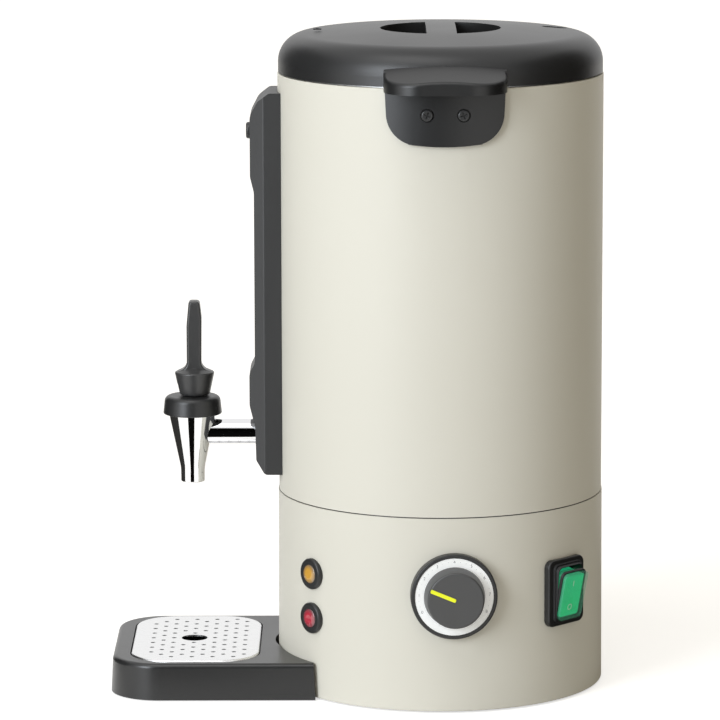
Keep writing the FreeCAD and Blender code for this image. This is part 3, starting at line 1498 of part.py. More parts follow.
def make_lid_cap():
    low = d.shell_top + d.lid_gap
    liner_flange_top = tank_top + d.fit_gap + d.gasket_wall + d.liner_wall
    inside = dome("lid_inside", d.lid_wall, low - 1)
    hollow_shell = cut("lid_shell", dome("lid_outside", as_size(0), low), inside)
    core_top = d.lid_apex - d.lid_wall
    core_low = d.well_floor - d.well_wall
    core = rod("lid_core", d.well_radius + d.well_wall, core_top - core_low, spot(z=core_low))
    bosses = [rod(f"lid_boss_{index}", d.lid_boss, core_top - 3 - liner_low(),
                  spot(d.lid_screw_circle * cosine(angle), d.lid_screw_circle * sine(angle), liner_low()))
              for index, angle in enumerate(LID_SCREWS)]
    rib_radius = d.tank_radius + d.gasket_width
    rib = tube("lid_rib", rib_radius, rib_radius - d.lid_rib, d.lid_edge - 14 - liner_flange_top,
               spot(z=liner_flange_top))
    spokes = [group(f"lid_spoke_{index}",
                    block(f"lid_spoke_block_{index}", d.lid_radius - d.lid_wall / 2 - rib_radius + d.lid_rib,
                          d.lid_rib, d.lid_spoke_height,
                          spot(rib_radius - d.lid_rib, -d.lid_rib / 2, liner_flange_top + 1)),
                    at=spot(yaw=360 / LID_SPOKES * index)) for index in range(LID_SPOKES)]
    vent_seat = rectangle(d.vent_width + 3, d.vent_tall + 3, 5, x=d.vent_across, y=d.vent_back)
    seat = padded("vent_seat", vent_seat, d.lid_edge - 5, 5)
    wells = cut("lid_wells", rod("well_round", d.well_radius, 60, spot(z=d.well_floor)),
                block("grip_bar", d.bar_width, 2 * d.well_radius + 4, 60,
                      spot(d.bar_shift - d.bar_width / 2, -d.well_radius - 2, d.well_floor)))
    vent_oval = rectangle(d.vent_width, d.vent_tall, d.vent_tall / 2 - 0.2, x=d.vent_across, y=d.vent_back)
    pocket = padded("vent_pocket", vent_oval, d.lid_edge - d.vent_depth, 20)
    hole = rod("vent_passage", 3, 40, spot(d.vent_across, d.vent_back, d.lid_edge - 20))
    screw_holes = [rod(f"lid_boss_hole_{index}", d.lid_screw + 0.05, d.lid_screw_length + 1,
                       spot(d.lid_screw_circle * cosine(angle), d.lid_screw_circle * sine(angle),
                            liner_low() - 1)) for index, angle in enumerate(LID_SCREWS)]
    solid = fuse("lid_solid", hollow_shell, core, rib, seat, *bosses, *spokes)
    node(cut("lid_cap", solid, wells, pocket, hole, *screw_holes), "lid_cap")
    insert = padded("vent_disc", rectangle(d.vent_width - 0.3, d.vent_tall - 0.3, d.vent_tall / 2 - 0.4,
                                           x=d.vent_across, y=d.vent_back),
                    d.lid_edge - d.vent_depth, d.vent_wall)
    vents = [rod(f"vent_hole_{index}", d.vent_hole, 20,
                 spot(d.vent_across + d.vent_hole_spread / 2 * side, d.vent_back, d.lid_edge - 10))
             for index, side in enumerate((-1, 1))]
    node(cut("vent_insert", insert, *vents), "vent_insert")


def liner_low():
    """Top face of the liner's floor, where the lid's bosses stand."""
    return tank_top + d.fit_gap + d.gasket_wall + d.liner_wall - d.liner_depth


def make_lid_liner():
    top = tank_top + d.fit_gap + d.gasket_wall + d.liner_wall
    plug = d.tank_radius - d.tank_wall - d.liner_play
    low = liner_low()
    pan = turned("liner_turn", [
        (0, low - d.liner_wall),
        (plug, low - d.liner_wall, 2.5),
        (plug, top - d.liner_wall),
        (d.tank_radius + d.gasket_width, top - d.liner_wall),
        (d.tank_radius + d.gasket_width, top),
        (plug - d.liner_wall, top),
        (plug - d.liner_wall, low, 1.5),
        (0, low)])
    holes = [rod(f"liner_hole_{index}", d.lid_screw + 0.3, 10,
                 spot(d.lid_screw_circle * cosine(angle), d.lid_screw_circle * sine(angle), low - 5))
             for index, angle in enumerate(LID_SCREWS)]
    holes.append(rod("liner_steam_hole", 2.5, 10, spot(d.vent_across, d.vent_back, low - 5)))
    node(cut("lid_liner", pan, *holes), "lid_liner")
    screws = []
    head = low - d.liner_wall
    for index, angle in enumerate(LID_SCREWS):
        screws.append(turned(f"lid_screw_{index}", [
            (0, head - 2),
            (d.lid_screw_head, head - 2, 1.2),
            (d.lid_screw_head, head),
            (d.lid_screw, head),
            (d.lid_screw, head + d.lid_screw_length),
            (0, head + d.lid_screw_length)],
            spot(d.lid_screw_circle * cosine(angle), d.lid_screw_circle * sine(angle), 0)))
    node(group("lid_screws", *screws), "lid_screws")


def make_gasket():
    low = tank_top + d.fit_gap
    outer = d.tank_radius + d.gasket_width
    inner = d.tank_radius - d.tank_wall + 0.4
    ring = turned("gasket_turn", [
        (inner, low),
        (outer, low, 0.6),
        (outer, low + d.gasket_wall - 0.1, 0.6),
        (inner, low + d.gasket_wall - 0.1)])
    node(ring, "lid_gasket")


# Drip tray
def make_tray():
    height = d.tray_top - d.tray_bottom
    outside = padded("tray_block", [
        (-d.tray_end, -d.tray_half),
        (-d.tray_end, d.tray_half),
        (-d.tray_reach, d.tray_half, d.tray_corner),
        (-d.tray_reach, -d.tray_half, d.tray_corner)], d.tray_bottom, height, draft=d.tray_draft)
    doc.recompute()
    top = d.tray_top.value
    end = d.tray_end.value

    def top_rim(edge):
        box = edge.BoundBox
        return abs(box.ZMin - top) < 0.01 and abs(box.ZMax - top) < 0.01 and box.XMin < -end - 2

    soft = rounded("tray_soft", outside, d.tray_round, top_rim)
    bite = rod("tray_bite_tool", d.tray_bite_radius, 60, spot(-d.tray_bite + d.tray_bite_radius, 0, -10))
    body = rod("tray_body_tool", d.base_radius_foot + d.tray_gap, 60, spot(z=-10))
    basin_width = d.grate_far - d.grate_near
    middle = -(d.grate_far + d.grate_near) / 2
    seat_low = d.grate_top - d.grate_skirt - 1
    seat = padded("tray_seat", rectangle(basin_width + 2 * d.grate_play, 2 * d.grate_half + 2 * d.grate_play,
                                         d.grate_corner + d.grate_play, x=middle), seat_low, 20)
    basin_plan = rectangle(basin_width - 2 * d.ledge_width, 2 * d.grate_half - 2 * d.ledge_width,
                           d.grate_corner - d.ledge_width, x=middle)
    basin = padded("tray_basin", basin_plan, d.tray_bottom + d.tray_floor, 40)
    node(cut("drip_tray", soft, bite, body, seat, basin), "drip_tray")
    pads = []
    for side in (-1, 1):
        far = spot(d.pad_far - d.tray_reach, (d.tray_half - d.pad_far_side) * side, 0)
        near = spot(-d.tray_bite - d.pad_near, (d.tray_half - d.pad_near_side) * side, 0)
        pads.append(rod(f"tray_pad_far_{side}", d.pad_radius, d.tray_bottom, far))
        pads.append(rod(f"tray_pad_near_{side}", d.pad_radius, d.tray_bottom, near))
    node(group("tray_pads", *pads), "tray_pads")


def make_grate():
    width = d.grate_far - d.grate_near
    middle = -(d.grate_far + d.grate_near) / 2
    low = d.grate_top - d.grate_skirt
    plan = rectangle(width, 2 * d.grate_half, d.grate_corner, x=middle)
    plate = padded("grate_block", plan, low, d.grate_skirt)
    top = d.grate_top.value

    def top_rim(edge):
        box = edge.BoundBox
        return abs(box.ZMin - top) < 0.01 and abs(box.ZMax - top) < 0.01

    soft = rounded("grate_soft", plate, d.grate_wall * 1.5, top_rim)
    room = padded("grate_room", rectangle(width - 2 * d.grate_wall, 2 * d.grate_half - 2 * d.grate_wall,
                                          d.grate_corner - d.grate_wall, x=middle), low - 1,
                  d.grate_skirt - d.grate_wall + 1)
    drain = rod("grate_drain", d.drain_radius, 30, spot(-d.tap_reach, 0, low - 5))
    shape = Part.makeCompound(list(grate_holes()))
    holes = doc.addObject("Part::Feature", "grate_holes")
    holes.Shape = shape
    node(cut("drip_grate", soft, room, holes, drain), "drip_grate")


def grate_holes():
    """Staggered rows of round holes round the drain, inside the grate's rim."""
    pitch = d.grate_pitch.value
    centre_x = -d.tap_reach.value
    half_x = (d.grate_far.value - d.grate_near.value) / 2 - d.grate_rim.value
    middle_x = -(d.grate_far.value + d.grate_near.value) / 2
    half_y = d.grate_half.value - d.grate_rim.value
    corner = d.grate_corner.value - d.grate_rim.value
    reach = int(half_y / pitch * 2) + 2
    for row in range(-reach, reach + 1):
        for column in range(-reach, reach + 1):
            x = centre_x + pitch * (column + (0.5 if row % 2 else 0.0))
            y = pitch / 2 * row
            over_x = max(abs(x - middle_x) - (half_x - corner), 0)
            over_y = max(abs(y) - (half_y - corner), 0)
            outside = math.hypot(over_x, over_y) > corner - d.grate_hole.value
            near_drain = math.hypot(x - centre_x, y) < d.drain_radius.value + 2.5 * d.grate_hole.value
            if outside or near_drain:
                continue
            yield Part.makeCylinder(d.grate_hole.value, 20, Vector(x, y, d.grate_top.value - 10))


def main():
    make_outer_shell()
    make_seam_ring()
    make_inner_tank()
    make_base_shell()
    make_base_plate()
    make_feet()
    make_base_screws()
    make_heater()
    make_limiter()
    make_thermostat()
    make_bulb()
    make_terminal_block()
    make_wiring()
    make_dial()
    make_knob()
    make_lamps()
    make_switch()
    make_rocker()
    make_gland()
    make_handles()
    make_gauge_housing()
    make_gauge()
    make_tap_body()
    make_bonnet()
    make_stem()
    make_spring()
    make_lever()
    make_lid_cap()
    make_lid_liner()
    make_gasket()
    make_tray()
    make_grate()
    doc.recompute()
    for feature in doc.Objects:
        if "Invalid" in feature.State or "Error" in feature.State:
            raise RuntimeError(f"{feature.Label} failed: {feature.State}")
    for feature in nodes:
        shape = feature.Shape
        if shape.isNull() or not shape.isValid() or not shape.Solids:
            raise RuntimeError(f"{feature.Label} has no valid solid")
    os.makedirs("parts", exist_ok=True)
    for feature in nodes:
        feature.Shape.exportStep(f"parts/{feature.Label}.step")
    print(len(nodes), "sub-parts")


main()
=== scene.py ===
"""Looks of the hot water urn: finishes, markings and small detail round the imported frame. Metres, +Z up."""
import json
import math

import bmesh
import bpy
from mathutils import Matrix, Vector


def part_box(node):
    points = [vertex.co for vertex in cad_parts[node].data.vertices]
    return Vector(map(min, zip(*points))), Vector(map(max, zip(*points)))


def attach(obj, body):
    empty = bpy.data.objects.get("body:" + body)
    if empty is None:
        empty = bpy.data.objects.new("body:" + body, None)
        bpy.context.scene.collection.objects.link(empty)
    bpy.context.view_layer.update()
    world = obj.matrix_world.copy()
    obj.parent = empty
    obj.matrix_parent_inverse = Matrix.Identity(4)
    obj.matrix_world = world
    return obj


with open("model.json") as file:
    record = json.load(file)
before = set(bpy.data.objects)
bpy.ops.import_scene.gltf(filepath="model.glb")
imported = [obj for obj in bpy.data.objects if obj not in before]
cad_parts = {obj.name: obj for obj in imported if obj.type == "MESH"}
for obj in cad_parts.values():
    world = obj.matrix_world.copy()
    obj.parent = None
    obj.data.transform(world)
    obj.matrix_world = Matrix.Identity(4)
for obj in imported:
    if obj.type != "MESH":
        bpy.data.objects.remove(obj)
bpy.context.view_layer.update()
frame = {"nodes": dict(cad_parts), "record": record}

# Places on the urn, in metres and degrees
MM = 0.001
FOOT_RADIUS = 118.5 * MM
FLARE = 0.5 / 139.7
DIAL_AZIMUTH = -86.3
DIAL_HEIGHT = 86.0 * MM
DIAL_FACE = 5.6 * MM
SWITCH_AZIMUTH = -42.7
SWITCH_HEIGHT = 81.0 * MM
SWITCH_TILT = 12.0
ROCKER_PIVOT = -3.0 * MM
ROCKER_FRONT = 8.0 * MM
TAP_X = -180.5 * MM
LID_TOP = 476.6 * MM

# Dial marks: from the low end of the knob's turn round to the high end
MARK_RADIUS = 25.2 * MM
MARK_FIRST = 205.0
MARK_LAST = -25.0
MARK_NUMBERS = 9
MARK_TALL = 3.3 * MM
MARK_PROUD = 0.04 * MM
TICKS_BETWEEN = 2
TICK_SIZE = Vector((0.9, 0.22, 0.08)) * MM

# Rocker marks
BAR_SIZE = Vector((0.7, 4.2, 0.3)) * MM
RING_INNER = 1.6 * MM
RING_OUTER = 2.3 * MM
RING_PROUD = 0.15 * MM
RING_STEPS = 32
ROCKER_MARK_OFF = 9.0 * MM

# Rubber round the rocker, as loops in millimetres: half width, half height, height and tilt
LOOP_CORNER = 4.2
CORNER_STEPS = 8
BELLOWS_LOOPS = ((15.0, 21.4, 3.15, 0), (15.0, 21.4, 4.5, 0), (14.6, 21.0, 4.9, 0), (14.1, 20.5, 4.8, 0),
                 (13.9, 20.2, 4.0, 0), (13.9, 20.2, 5.6, 2), (13.5, 19.8, 6.2, 3), (13.0, 19.3, 6.1, 3),
                 (12.9, 19.2, 3.15, 0))
BOOT_RIM_LOOPS = ((13.0, 18.6, 5.4, 12), (13.0, 18.6, 7.0, 12), (12.8, 18.4, 7.4, 12),
                  (12.02, 17.52, 7.5, 12), (12.02, 17.52, 5.4, 12))

# Raised triangle on the lid
ARROW_PLACE = Vector((-88.6, 4.0, 0)) * MM
ARROW_FOOT = 3.4 * MM
ARROW_HOLE = 2.5 * MM
ARROW_PROUD = 0.25 * MM
ARROW_SUNK = 0.6 * MM

# Lamp lenses: how far from the middle the tint is clear, and where the painted shade of the bezel is full at
# the rim
LENS_CLEAR = 4.0 * MM
LENS_SHADE_FULL = 7.0 * MM

# Stage: the floor's own white near the urn and far off, and the light from all round
FLOOR_NEAR = 0.62
FLOOR_FAR = 0.82
FLOOR_FAR_AT = 2.0
FLOOR_HALF = 7.0
PAPER_SHADE = 0.80
PAPER_ROUGHNESS = 0.8
FILL_LEVEL = 0.37
FILL_COLOUR = (1.0, 0.91, 0.73)
WHITE = (1.0, 1.0, 1.0)

# Soft boxes: name, place, width, height, watts and colour
LIGHTS = (("left_softbox", (-2.0, -2.4, 1.2), 1.3, 2.2, 76, (0.87, 0.93, 1.0)),
          ("top_softbox", (-0.6, -0.9, 2.6), 1.8, 1.2, 14, WHITE))

# Cards that polished and glossy surfaces mirror, as sectors seen from the tap: name, shade and two angles
CARD_NEAR = 0.2
CARD_FAR = 3.7
CARD_TALL = 2.9
CARD_LOW = 1.0 * MM
CARDS = (("front_card", 0.004, -23, 11), ("back_card", 0.05, -150, -78), ("right_card", 0.02, 55, 131))

# Photograph's camera
CAMERA_PLACE = Vector((-0.0584, -3.3231, 0.8059))
CAMERA_DOWN = 0.1701
CAMERA_ROLL = -0.0024
CAMERA_REACH = 50
FOCAL_PIXELS = 4631.35
PHOTO_PIXELS = 720
SENSOR = 36.0


def wall_radius(height):
    """Radius of the slightly flared base at a height."""
    return FOOT_RADIUS - FLARE * (height - 1.5 * MM)


DIAL_WALL = wall_radius(DIAL_HEIGHT)
SWITCH_WALL = wall_radius(SWITCH_HEIGHT)


# Shader maths
class Value:
    """A socket in a node tree, with plain arithmetic on it."""

    def __init__(self, nodes, socket):
        self.nodes = nodes
        self.socket = socket

    def maths(self, operation, first, second):
        return self.nodes.node("Math", {"operation": operation}, {0: first, 1: second})

    def __add__(self, other):
        return self.maths("ADD", self, other)

    def __radd__(self, other):
        return self.maths("ADD", other, self)

    def __mul__(self, other):
        return self.maths("MULTIPLY", self, other)

    def __rmul__(self, other):
        return self.maths("MULTIPLY", other, self)

    def __or__(self, other):
        return self.maths("MAXIMUM", self, other)


class Nodes:
    """A node tree whose nodes are added by kind, settings and sockets."""

    def __init__(self, tree):
        self.tree = tree

    def set(self, node, sockets):
        """Each socket gets a link or a number of its own."""
        for key, item in sockets.items():
            socket = node.inputs[key]
            if isinstance(item, Value):
                self.tree.links.new(item.socket, socket)
            elif socket.type == "RGBA":
                socket.default_value = (*item, 1)
            else:
                socket.default_value = item

    def node(self, kind, settings=None, sockets=None, output=0):
        node = self.tree.nodes.new(f"ShaderNode{kind}")
        for key, item in (settings or {}).items():
            setattr(node, key, item)
        self.set(node, sockets or {})
        return Value(self, node.outputs[output])

    def place(self):
        return self.node("TexCoord", output="Object")

    def distance(self, point):
        return self.node("VectorMath", {"operation": "DISTANCE"}, {0: self.place(), 1: point}, output="Value")

    def rise(self, value, low, high):
        """0 below low, 1 above high, and an even climb between them."""
        return self.node("MapRange", sockets={"Value": value, "From Min": low, "From Max": high})

    def noise(self, scale, detail=2.0, roughness=0.5, stretch=(1, 1, 1)):
        spot = self.node("Mapping", sockets={"Vector": self.place(), "Scale": stretch})
        return self.node("TexNoise", sockets={"Vector": spot, "Scale": scale, "Detail": detail,
                                              "Roughness": roughness})

    def mix(self, share, first, second):
        """A colour between two colours; 6 and 7 are the Mix node's two colour sockets."""
        return self.node("Mix", {"data_type": "RGBA"}, {"Factor": share, 6: first, 7: second}, output=2)


SOCKET_NAMES = {"specular": "Specular IOR Level"}


class Finish(Nodes):
    """A material round one Principled shader."""

    def __init__(self, name, **sockets):
        self.material = bpy.data.materials.new(name)
        self.material.use_nodes = True
        super().__init__(self.material.node_tree)
        self.shader = self.tree.nodes["Principled BSDF"]
        self.give(**sockets)

    def give(self, **sockets):
        """Sockets of the shader by plain names, such as base_color."""
        self.set(self.shader, {SOCKET_NAMES.get(key, key.replace("_", " ").title()): item
                               for key, item in sockets.items()})

    def bump(self, height, depth, strength):
        self.give(normal=self.node("Bump", sockets={"Height": height, "Distance": depth,
                                                    "Strength": strength}))


def spread(value, low, high):
    """A value from 0 to 1 laid over low to high."""
    return value * (high - low) + low


def shade_of(colour, factor):
    return tuple(part * factor for part in colour)


# Finishes
def cream_paint():
    """Warm satin powder coat: a faint cloud of colour and a fine orange peel."""
    finish = Finish("cream_paint", specular=0.3)
    cloud = finish.noise(6.0, 3.0)
    orange_peel = finish.noise(420.0, 2.0)
    finish.give(base_color=finish.mix(cloud, (0.690, 0.668, 0.592), (0.715, 0.694, 0.618)),
                roughness=spread(orange_peel, 0.42, 0.52))
    finish.bump(orange_peel, 0.04 * MM, 0.5)
    return finish


def black_plastic(name="black_plastic", shade=0.018, gloss=0.34, grain=0.03 * MM):
    """Moulded black: faint clouds in colour and gloss over fine pores."""
    finish = Finish(name)
    cloud = finish.noise(14.0, 3.0)
    pores = finish.noise(1600.0, 2.0, 0.6)
    grey = (shade, shade, shade * 1.02)
    finish.give(base_color=finish.mix(cloud, shade_of(grey, 0.88), shade_of(grey, 1.15)),
                roughness=spread(cloud, gloss, gloss + 0.08))
    finish.bump(pores, grain, 0.6)
    return finish


def chrome():
    """Polished plating with the faintest smears."""
    finish = Finish("chrome", metallic=1.0)
    smear = finish.noise(60.0, 3.0)
    finish.give(base_color=finish.mix(smear, (0.80, 0.80, 0.81), (0.86, 0.86, 0.87)),
                roughness=spread(smear, 0.02, 0.06))
    return finish


def brushed(name, low, high, roughness, stretch=(1, 1, 1)):
    """Metal with fine lines, which run across the way that they are squeezed along."""
    finish = Finish(name, metallic=1.0)
    lines = finish.noise(45.0, 4.0, 0.6, stretch)
    finish.give(base_color=finish.mix(lines, low, high), roughness=spread(lines, roughness, roughness + 0.12))
    finish.bump(lines, 0.01 * MM, 0.4)
    return finish


def dial_ring():
    """Pale printed ring with a satin face, and a faint painted glow of white light, though it is no lamp."""
    # The white emission is painted light that brightens the ring.
    finish = Finish("dial_silver", emission_color=WHITE, emission_strength=0.12)
    satin = finish.noise(300.0, 2.0)
    finish.give(base_color=finish.mix(satin, (0.92, 0.93, 0.93), (0.97, 0.98, 0.97)),
                roughness=spread(satin, 0.34, 0.42))
    return finish


def moulded(name, colour, roughness, **sockets):
    """Coloured moulding, a little darker in faint clouds."""
    finish = Finish(name, **sockets)
    cloud = finish.noise(120.0, 2.0)
    finish.give(base_color=finish.mix(cloud, shade_of(colour, 0.9), colour),
                roughness=spread(cloud, roughness, roughness + 0.1))
    finish.bump(cloud, 0.02 * MM, 0.3)
    return finish


def lamp_lens(name, node, middle, rim):
    """A tinted lens over its lamp: deep in the middle, and greyed towards the rim by a painted shade of the
    bezel.
    """
    finish = Finish(name, coat_weight=1.0, coat_roughness=0.05)
    low, high = (Vector(corner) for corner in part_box(node))
    bezel_shade_share = finish.rise(finish.distance((low + high) / 2), LENS_CLEAR, LENS_SHADE_FULL)
    facets = finish.noise(700.0, 2.0)
    tint = finish.mix(facets, shade_of(middle, 0.85), middle)
    # The rim colour is the bezel's painted shade, mixed in towards the lens's edge.
    finish.give(base_color=finish.mix(bezel_shade_share, tint, rim), roughness=spread(facets, 0.2, 0.3))
    return finish


def clear(name, colour, roughness, alpha):
    """Thin clear wall with a faint haze."""
    finish = Finish(name, alpha=alpha, specular=0.8)
    haze = finish.noise(200.0, 2.0)
    finish.give(base_color=finish.mix(haze, shade_of(colour, 0.9), colour),
                roughness=spread(haze, roughness, roughness + 0.06))
    return finish


FINISHES = {
    "cream_paint": cream_paint(),
    # Black mouldings and paint: shade, least roughness and depth of the pores
    "black_plastic": black_plastic(),
    "dark_plastic": black_plastic("dark_plastic", 0.020, 0.27, 0.04 * MM),
    "black_paint": black_plastic("black_paint", 0.03, 0.5, 0.04 * MM),
    "black_screw": black_plastic("black_screw", 0.035, 0.3, 0.01 * MM),
    "knob_black": black_plastic("knob_black", 0.065, 0.36, 0.02 * MM),
    "lever_black": black_plastic("lever_black", 0.046, 0.30, 0.02 * MM),
    "housing_black": black_plastic("housing_black", 0.030, 0.40, 0.03 * MM),
    "handle_black": black_plastic("handle_black", 0.012, 0.34, 0.03 * MM),
    "rubber": black_plastic("rubber", 0.014, 0.5),
    # Metals: darkest and lightest colour, least roughness and how the lines are squeezed along each axis
    "chrome": chrome(),
    "stainless": brushed("stainless", (0.80, 0.80, 0.80), (0.90, 0.90, 0.90), 0.22, (2, 60, 2)),
    "tank_steel": brushed("tank_steel", (0.66, 0.66, 0.65), (0.76, 0.76, 0.75), 0.30, (1, 1, 60)),
    "aluminium": brushed("aluminium", (0.66, 0.66, 0.67), (0.78, 0.78, 0.79), 0.35),
    "brass": brushed("brass", (0.60, 0.44, 0.18), (0.74, 0.57, 0.28), 0.25, (1, 1, 40)),
    "copper": brushed("copper", (0.62, 0.33, 0.20), (0.76, 0.44, 0.30), 0.25, (1, 1, 20)),
    "spring_steel": brushed("spring_steel", (0.45, 0.45, 0.46), (0.62, 0.62, 0.63), 0.25, (1, 1, 20)),
    "screw_steel": brushed("screw_steel", (0.5, 0.5, 0.51), (0.66, 0.66, 0.67), 0.25, (20, 1, 1)),
    # Coloured mouldings, lenses and clear walls: colours and least roughness
    "dial_silver": dial_ring(),
    "inner_plastic": moulded("inner_plastic", (0.72, 0.70, 0.62), 0.5),
    "wire_sleeve": moulded("wire_sleeve", (0.66, 0.64, 0.60), 0.55),
    "silicone": moulded("silicone", (0.62, 0.62, 0.60), 0.45),
    # The pointer's yellow emission is painted light: it glows though it is no lamp.
    "pointer_yellow": moulded("pointer_yellow", (0.86, 0.90, 0.02), 0.35, emission_color=(0.86, 0.90, 0.02),
                              emission_strength=0.15),
    # The second colour of each lens is the painted shade of its bezel at the rim.
    "amber_lens": lamp_lens("amber_lens", "amber_lamp_lens", (0.72, 0.38, 0.05), (0.21, 0.15, 0.10)),
    "red_lens": lamp_lens("red_lens", "red_lamp_lens", (0.56, 0.03, 0.06), (0.18, 0.07, 0.08)),
    "red_plastic": moulded("red_plastic", (0.60, 0.03, 0.03), 0.3),
    # The rocker's green emission is painted light: it glows though it is no lamp.
    "green_plastic": moulded("green_plastic", (0.03, 0.60, 0.27), 0.3, emission_color=(0.02, 0.50, 0.22),
                             emission_strength=0.5),
    "clear_boot": clear("clear_boot", (0.17, 0.46, 0.34), 0.12, 0.26),
    "gauge_glass": clear("gauge_glass", (0.85, 0.92, 0.92), 0.02, 0.3),
    "dial_print": moulded("dial_print", (0.30, 0.30, 0.32), 0.5),
    "mark_white": moulded("mark_white", (0.72, 0.94, 0.82), 0.4),
}

# Nodes that look unlike the rest of their slot
OWN_FINISH = {"inner_tank": "tank_steel", "lid_liner": "tank_steel", "control_knob": "knob_black",
              "tap_lever": "lever_black", "gauge_housing": "housing_black", "front_handle": "handle_black",
              "rear_handle": "handle_black"}


def cover_nodes():
    """Every CAD node takes the finish of its slot in the record, or its own."""
    for subpart in frame["record"]["subparts"]:
        solid = frame["nodes"][subpart["node"]]
        finish = OWN_FINISH.get(subpart["node"], subpart["material_slot"])
        solid.data.materials.clear()
        solid.data.materials.append(FINISHES[finish].material)


# Mesh helpers
def place_object(name, data):
    thing = bpy.data.objects.new(name, data)
    bpy.context.scene.collection.objects.link(thing)
    return thing


def mesh_of(name, shape):
    """The finished mesh of a shape, with its faces turned outwards."""
    bmesh.ops.recalc_face_normals(shape, faces=shape.faces)
    mesh = bpy.data.meshes.new(name)
    shape.to_mesh(mesh)
    shape.free()
    return mesh


def piece(name, finish, body, shape):
    """A shape made into a piece that rides on a body."""
    thing = place_object(name, mesh_of(name, shape))
    thing.data.materials.append(FINISHES[finish].material)
    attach(thing, body)
    return thing


def band(shape, loops):
    """Faces that join each loop of points to the next, and the last loop to the first."""
    for inner, outer in zip(loops, loops[1:] + loops[:1]):
        for step in range(len(inner)):
            after = (step + 1) % len(inner)
            shape.faces.new((inner[step], inner[after], outer[after], outer[step]))


def circle(shape, place, radius, height, steps, first=0.0):
    """A loop of evenly spaced points, at a height over a place."""
    turns = [math.radians(first + 360 * step / steps) for step in range(steps)]
    return [shape.verts.new(place @ Vector((radius * math.cos(turn), radius * math.sin(turn), height)))
            for turn in turns]


def block(shape, place, size):
    bmesh.ops.create_cube(shape, size=1, matrix=place @ Matrix.Diagonal((*size, 1)))


def wall_frame(azimuth, radius, height):
    """Axes on the wall: x to the viewer's right, y up and z out of the wall."""
    angle = math.radians(azimuth)
    out = Vector((math.cos(angle), math.sin(angle), 0))
    up = Vector((0, 0, 1))
    turn = Matrix((up.cross(out), up, out)).transposed().to_4x4()
    return Matrix.Translation(out * radius + up * height) @ turn


def turned(angle, axis="Z"):
    return Matrix.Rotation(math.radians(angle), 4, axis)


def moved(x, y, z):
    return Matrix.Translation((x, y, z))


# Camera, floor and light
def make_camera():
    data = bpy.data.cameras.new("photo_camera")
    data.sensor_width = SENSOR
    data.lens = FOCAL_PIXELS / PHOTO_PIXELS * SENSOR
    data.clip_end = CAMERA_REACH
    thing = place_object("photo_camera", data)
    tilt = Matrix.Rotation(math.pi / 2 - CAMERA_DOWN, 4, "X")
    thing.matrix_world = Matrix.Translation(CAMERA_PLACE) @ tilt @ Matrix.Rotation(CAMERA_ROLL, 4, "Z")
    bpy.context.scene.camera = thing


def white_for_eye(nodes, plain, white):
    """A plain shader for the light that falls on things, and a white one for the eye, metal and glass."""
    seen = nodes.node("LightPath", output="Is Camera Ray")
    for ray in ("Is Glossy Ray", "Is Transmission Ray"):
        seen = seen | nodes.node("LightPath", output=ray)
    return nodes.node("MixShader", sockets={0: seen, 1: plain, 2: white})


def stage_sheet(name, corners, finish):
    mesh = bpy.data.meshes.new(name)
    mesh.from_pydata(corners, [], [range(len(corners))])
    mesh.materials.append(finish.material)
    sheet = place_object(name, mesh)
    return sheet


def make_floor():
    """White paper that keeps the shadow: part of its white is its own, part is the lamps' light."""
    finish = Finish("floor_paper", base_color=shade_of(WHITE, PAPER_SHADE), roughness=PAPER_ROUGHNESS,
                    specular=0.0)
    away = finish.rise(finish.distance((0, 0, 0)), 0.0, FLOOR_FAR_AT)
    own = finish.node("Emission", sockets={"Color": finish.mix(away, shade_of(WHITE, FLOOR_NEAR),
                                                               shade_of(WHITE, FLOOR_FAR))})
    paper = Value(finish, finish.shader.outputs[0])
    both = finish.node("AddShader", sockets={0: paper, 1: own})
    finish.set(finish.tree.nodes["Material Output"], {"Surface": white_for_eye(finish, paper, both)})
    half = FLOOR_HALF
    stage_sheet("floor", [(-half, -half, 0), (half, -half, 0), (half, half, 0), (-half, half, 0)], finish)


def sector(centre, left, right):
    """Corners of a flat sector on the floor round a centre, its angles measured from straight ahead."""
    corners = []
    for reach, turn in ((CARD_NEAR, left), (CARD_FAR, left), (CARD_FAR, right), (CARD_NEAR, right)):
        angle = math.radians(turn)
        corners.append(centre + Vector((reach * math.sin(angle), -reach * math.cos(angle), CARD_LOW)))
    return corners


def make_cards():
    """Dark cards that only metal and gloss mirror: in front, behind and on the right."""
    tap = Vector((TAP_X, 0, 0))
    for name, shade, left, right in CARDS:
        finish = Finish(name, base_color=shade_of(WHITE, shade), roughness=1.0, specular=0.0)
        flat = sector(tap, left, right)
        near, far = flat[1:3]
        tall = [near, far, far + Vector((0, 0, CARD_TALL)), near + Vector((0, 0, CARD_TALL))]
        for part, corners in (("low", flat), ("tall", tall)):
            card = stage_sheet(f"{name}_{part}", corners, finish)
            card.visible_camera = False
            card.visible_diffuse = False
            card.visible_shadow = False
            card.visible_transmission = False


def make_world():
    world = bpy.data.worlds.new("studio")
    bpy.context.scene.world = world
    world.use_nodes = True
    nodes = Nodes(world.node_tree)
    fill = nodes.node("Background", sockets={"Color": FILL_COLOUR, "Strength": FILL_LEVEL})
    white = nodes.node("Background", sockets={"Color": WHITE})
    nodes.set(world.node_tree.nodes["World Output"], {"Surface": white_for_eye(nodes, fill, white)})


def make_light(name, place, width, height, power, colour):
    """A soft box that looks at the middle of the urn."""
    data = bpy.data.lights.new(name, "AREA")
    data.shape = "RECTANGLE"
    data.size = width
    data.size_y = height
    data.energy = power
    data.color = colour
    thing = place_object(name, data)
    thing.location = place
    middle = Vector((0, 0, LID_TOP / 2))
    thing.rotation_euler = (middle - thing.location).to_track_quat("-Z", "Y").to_euler()


def make_studio():
    make_world()
    make_cards()
    for light in LIGHTS:
        make_light(*light)


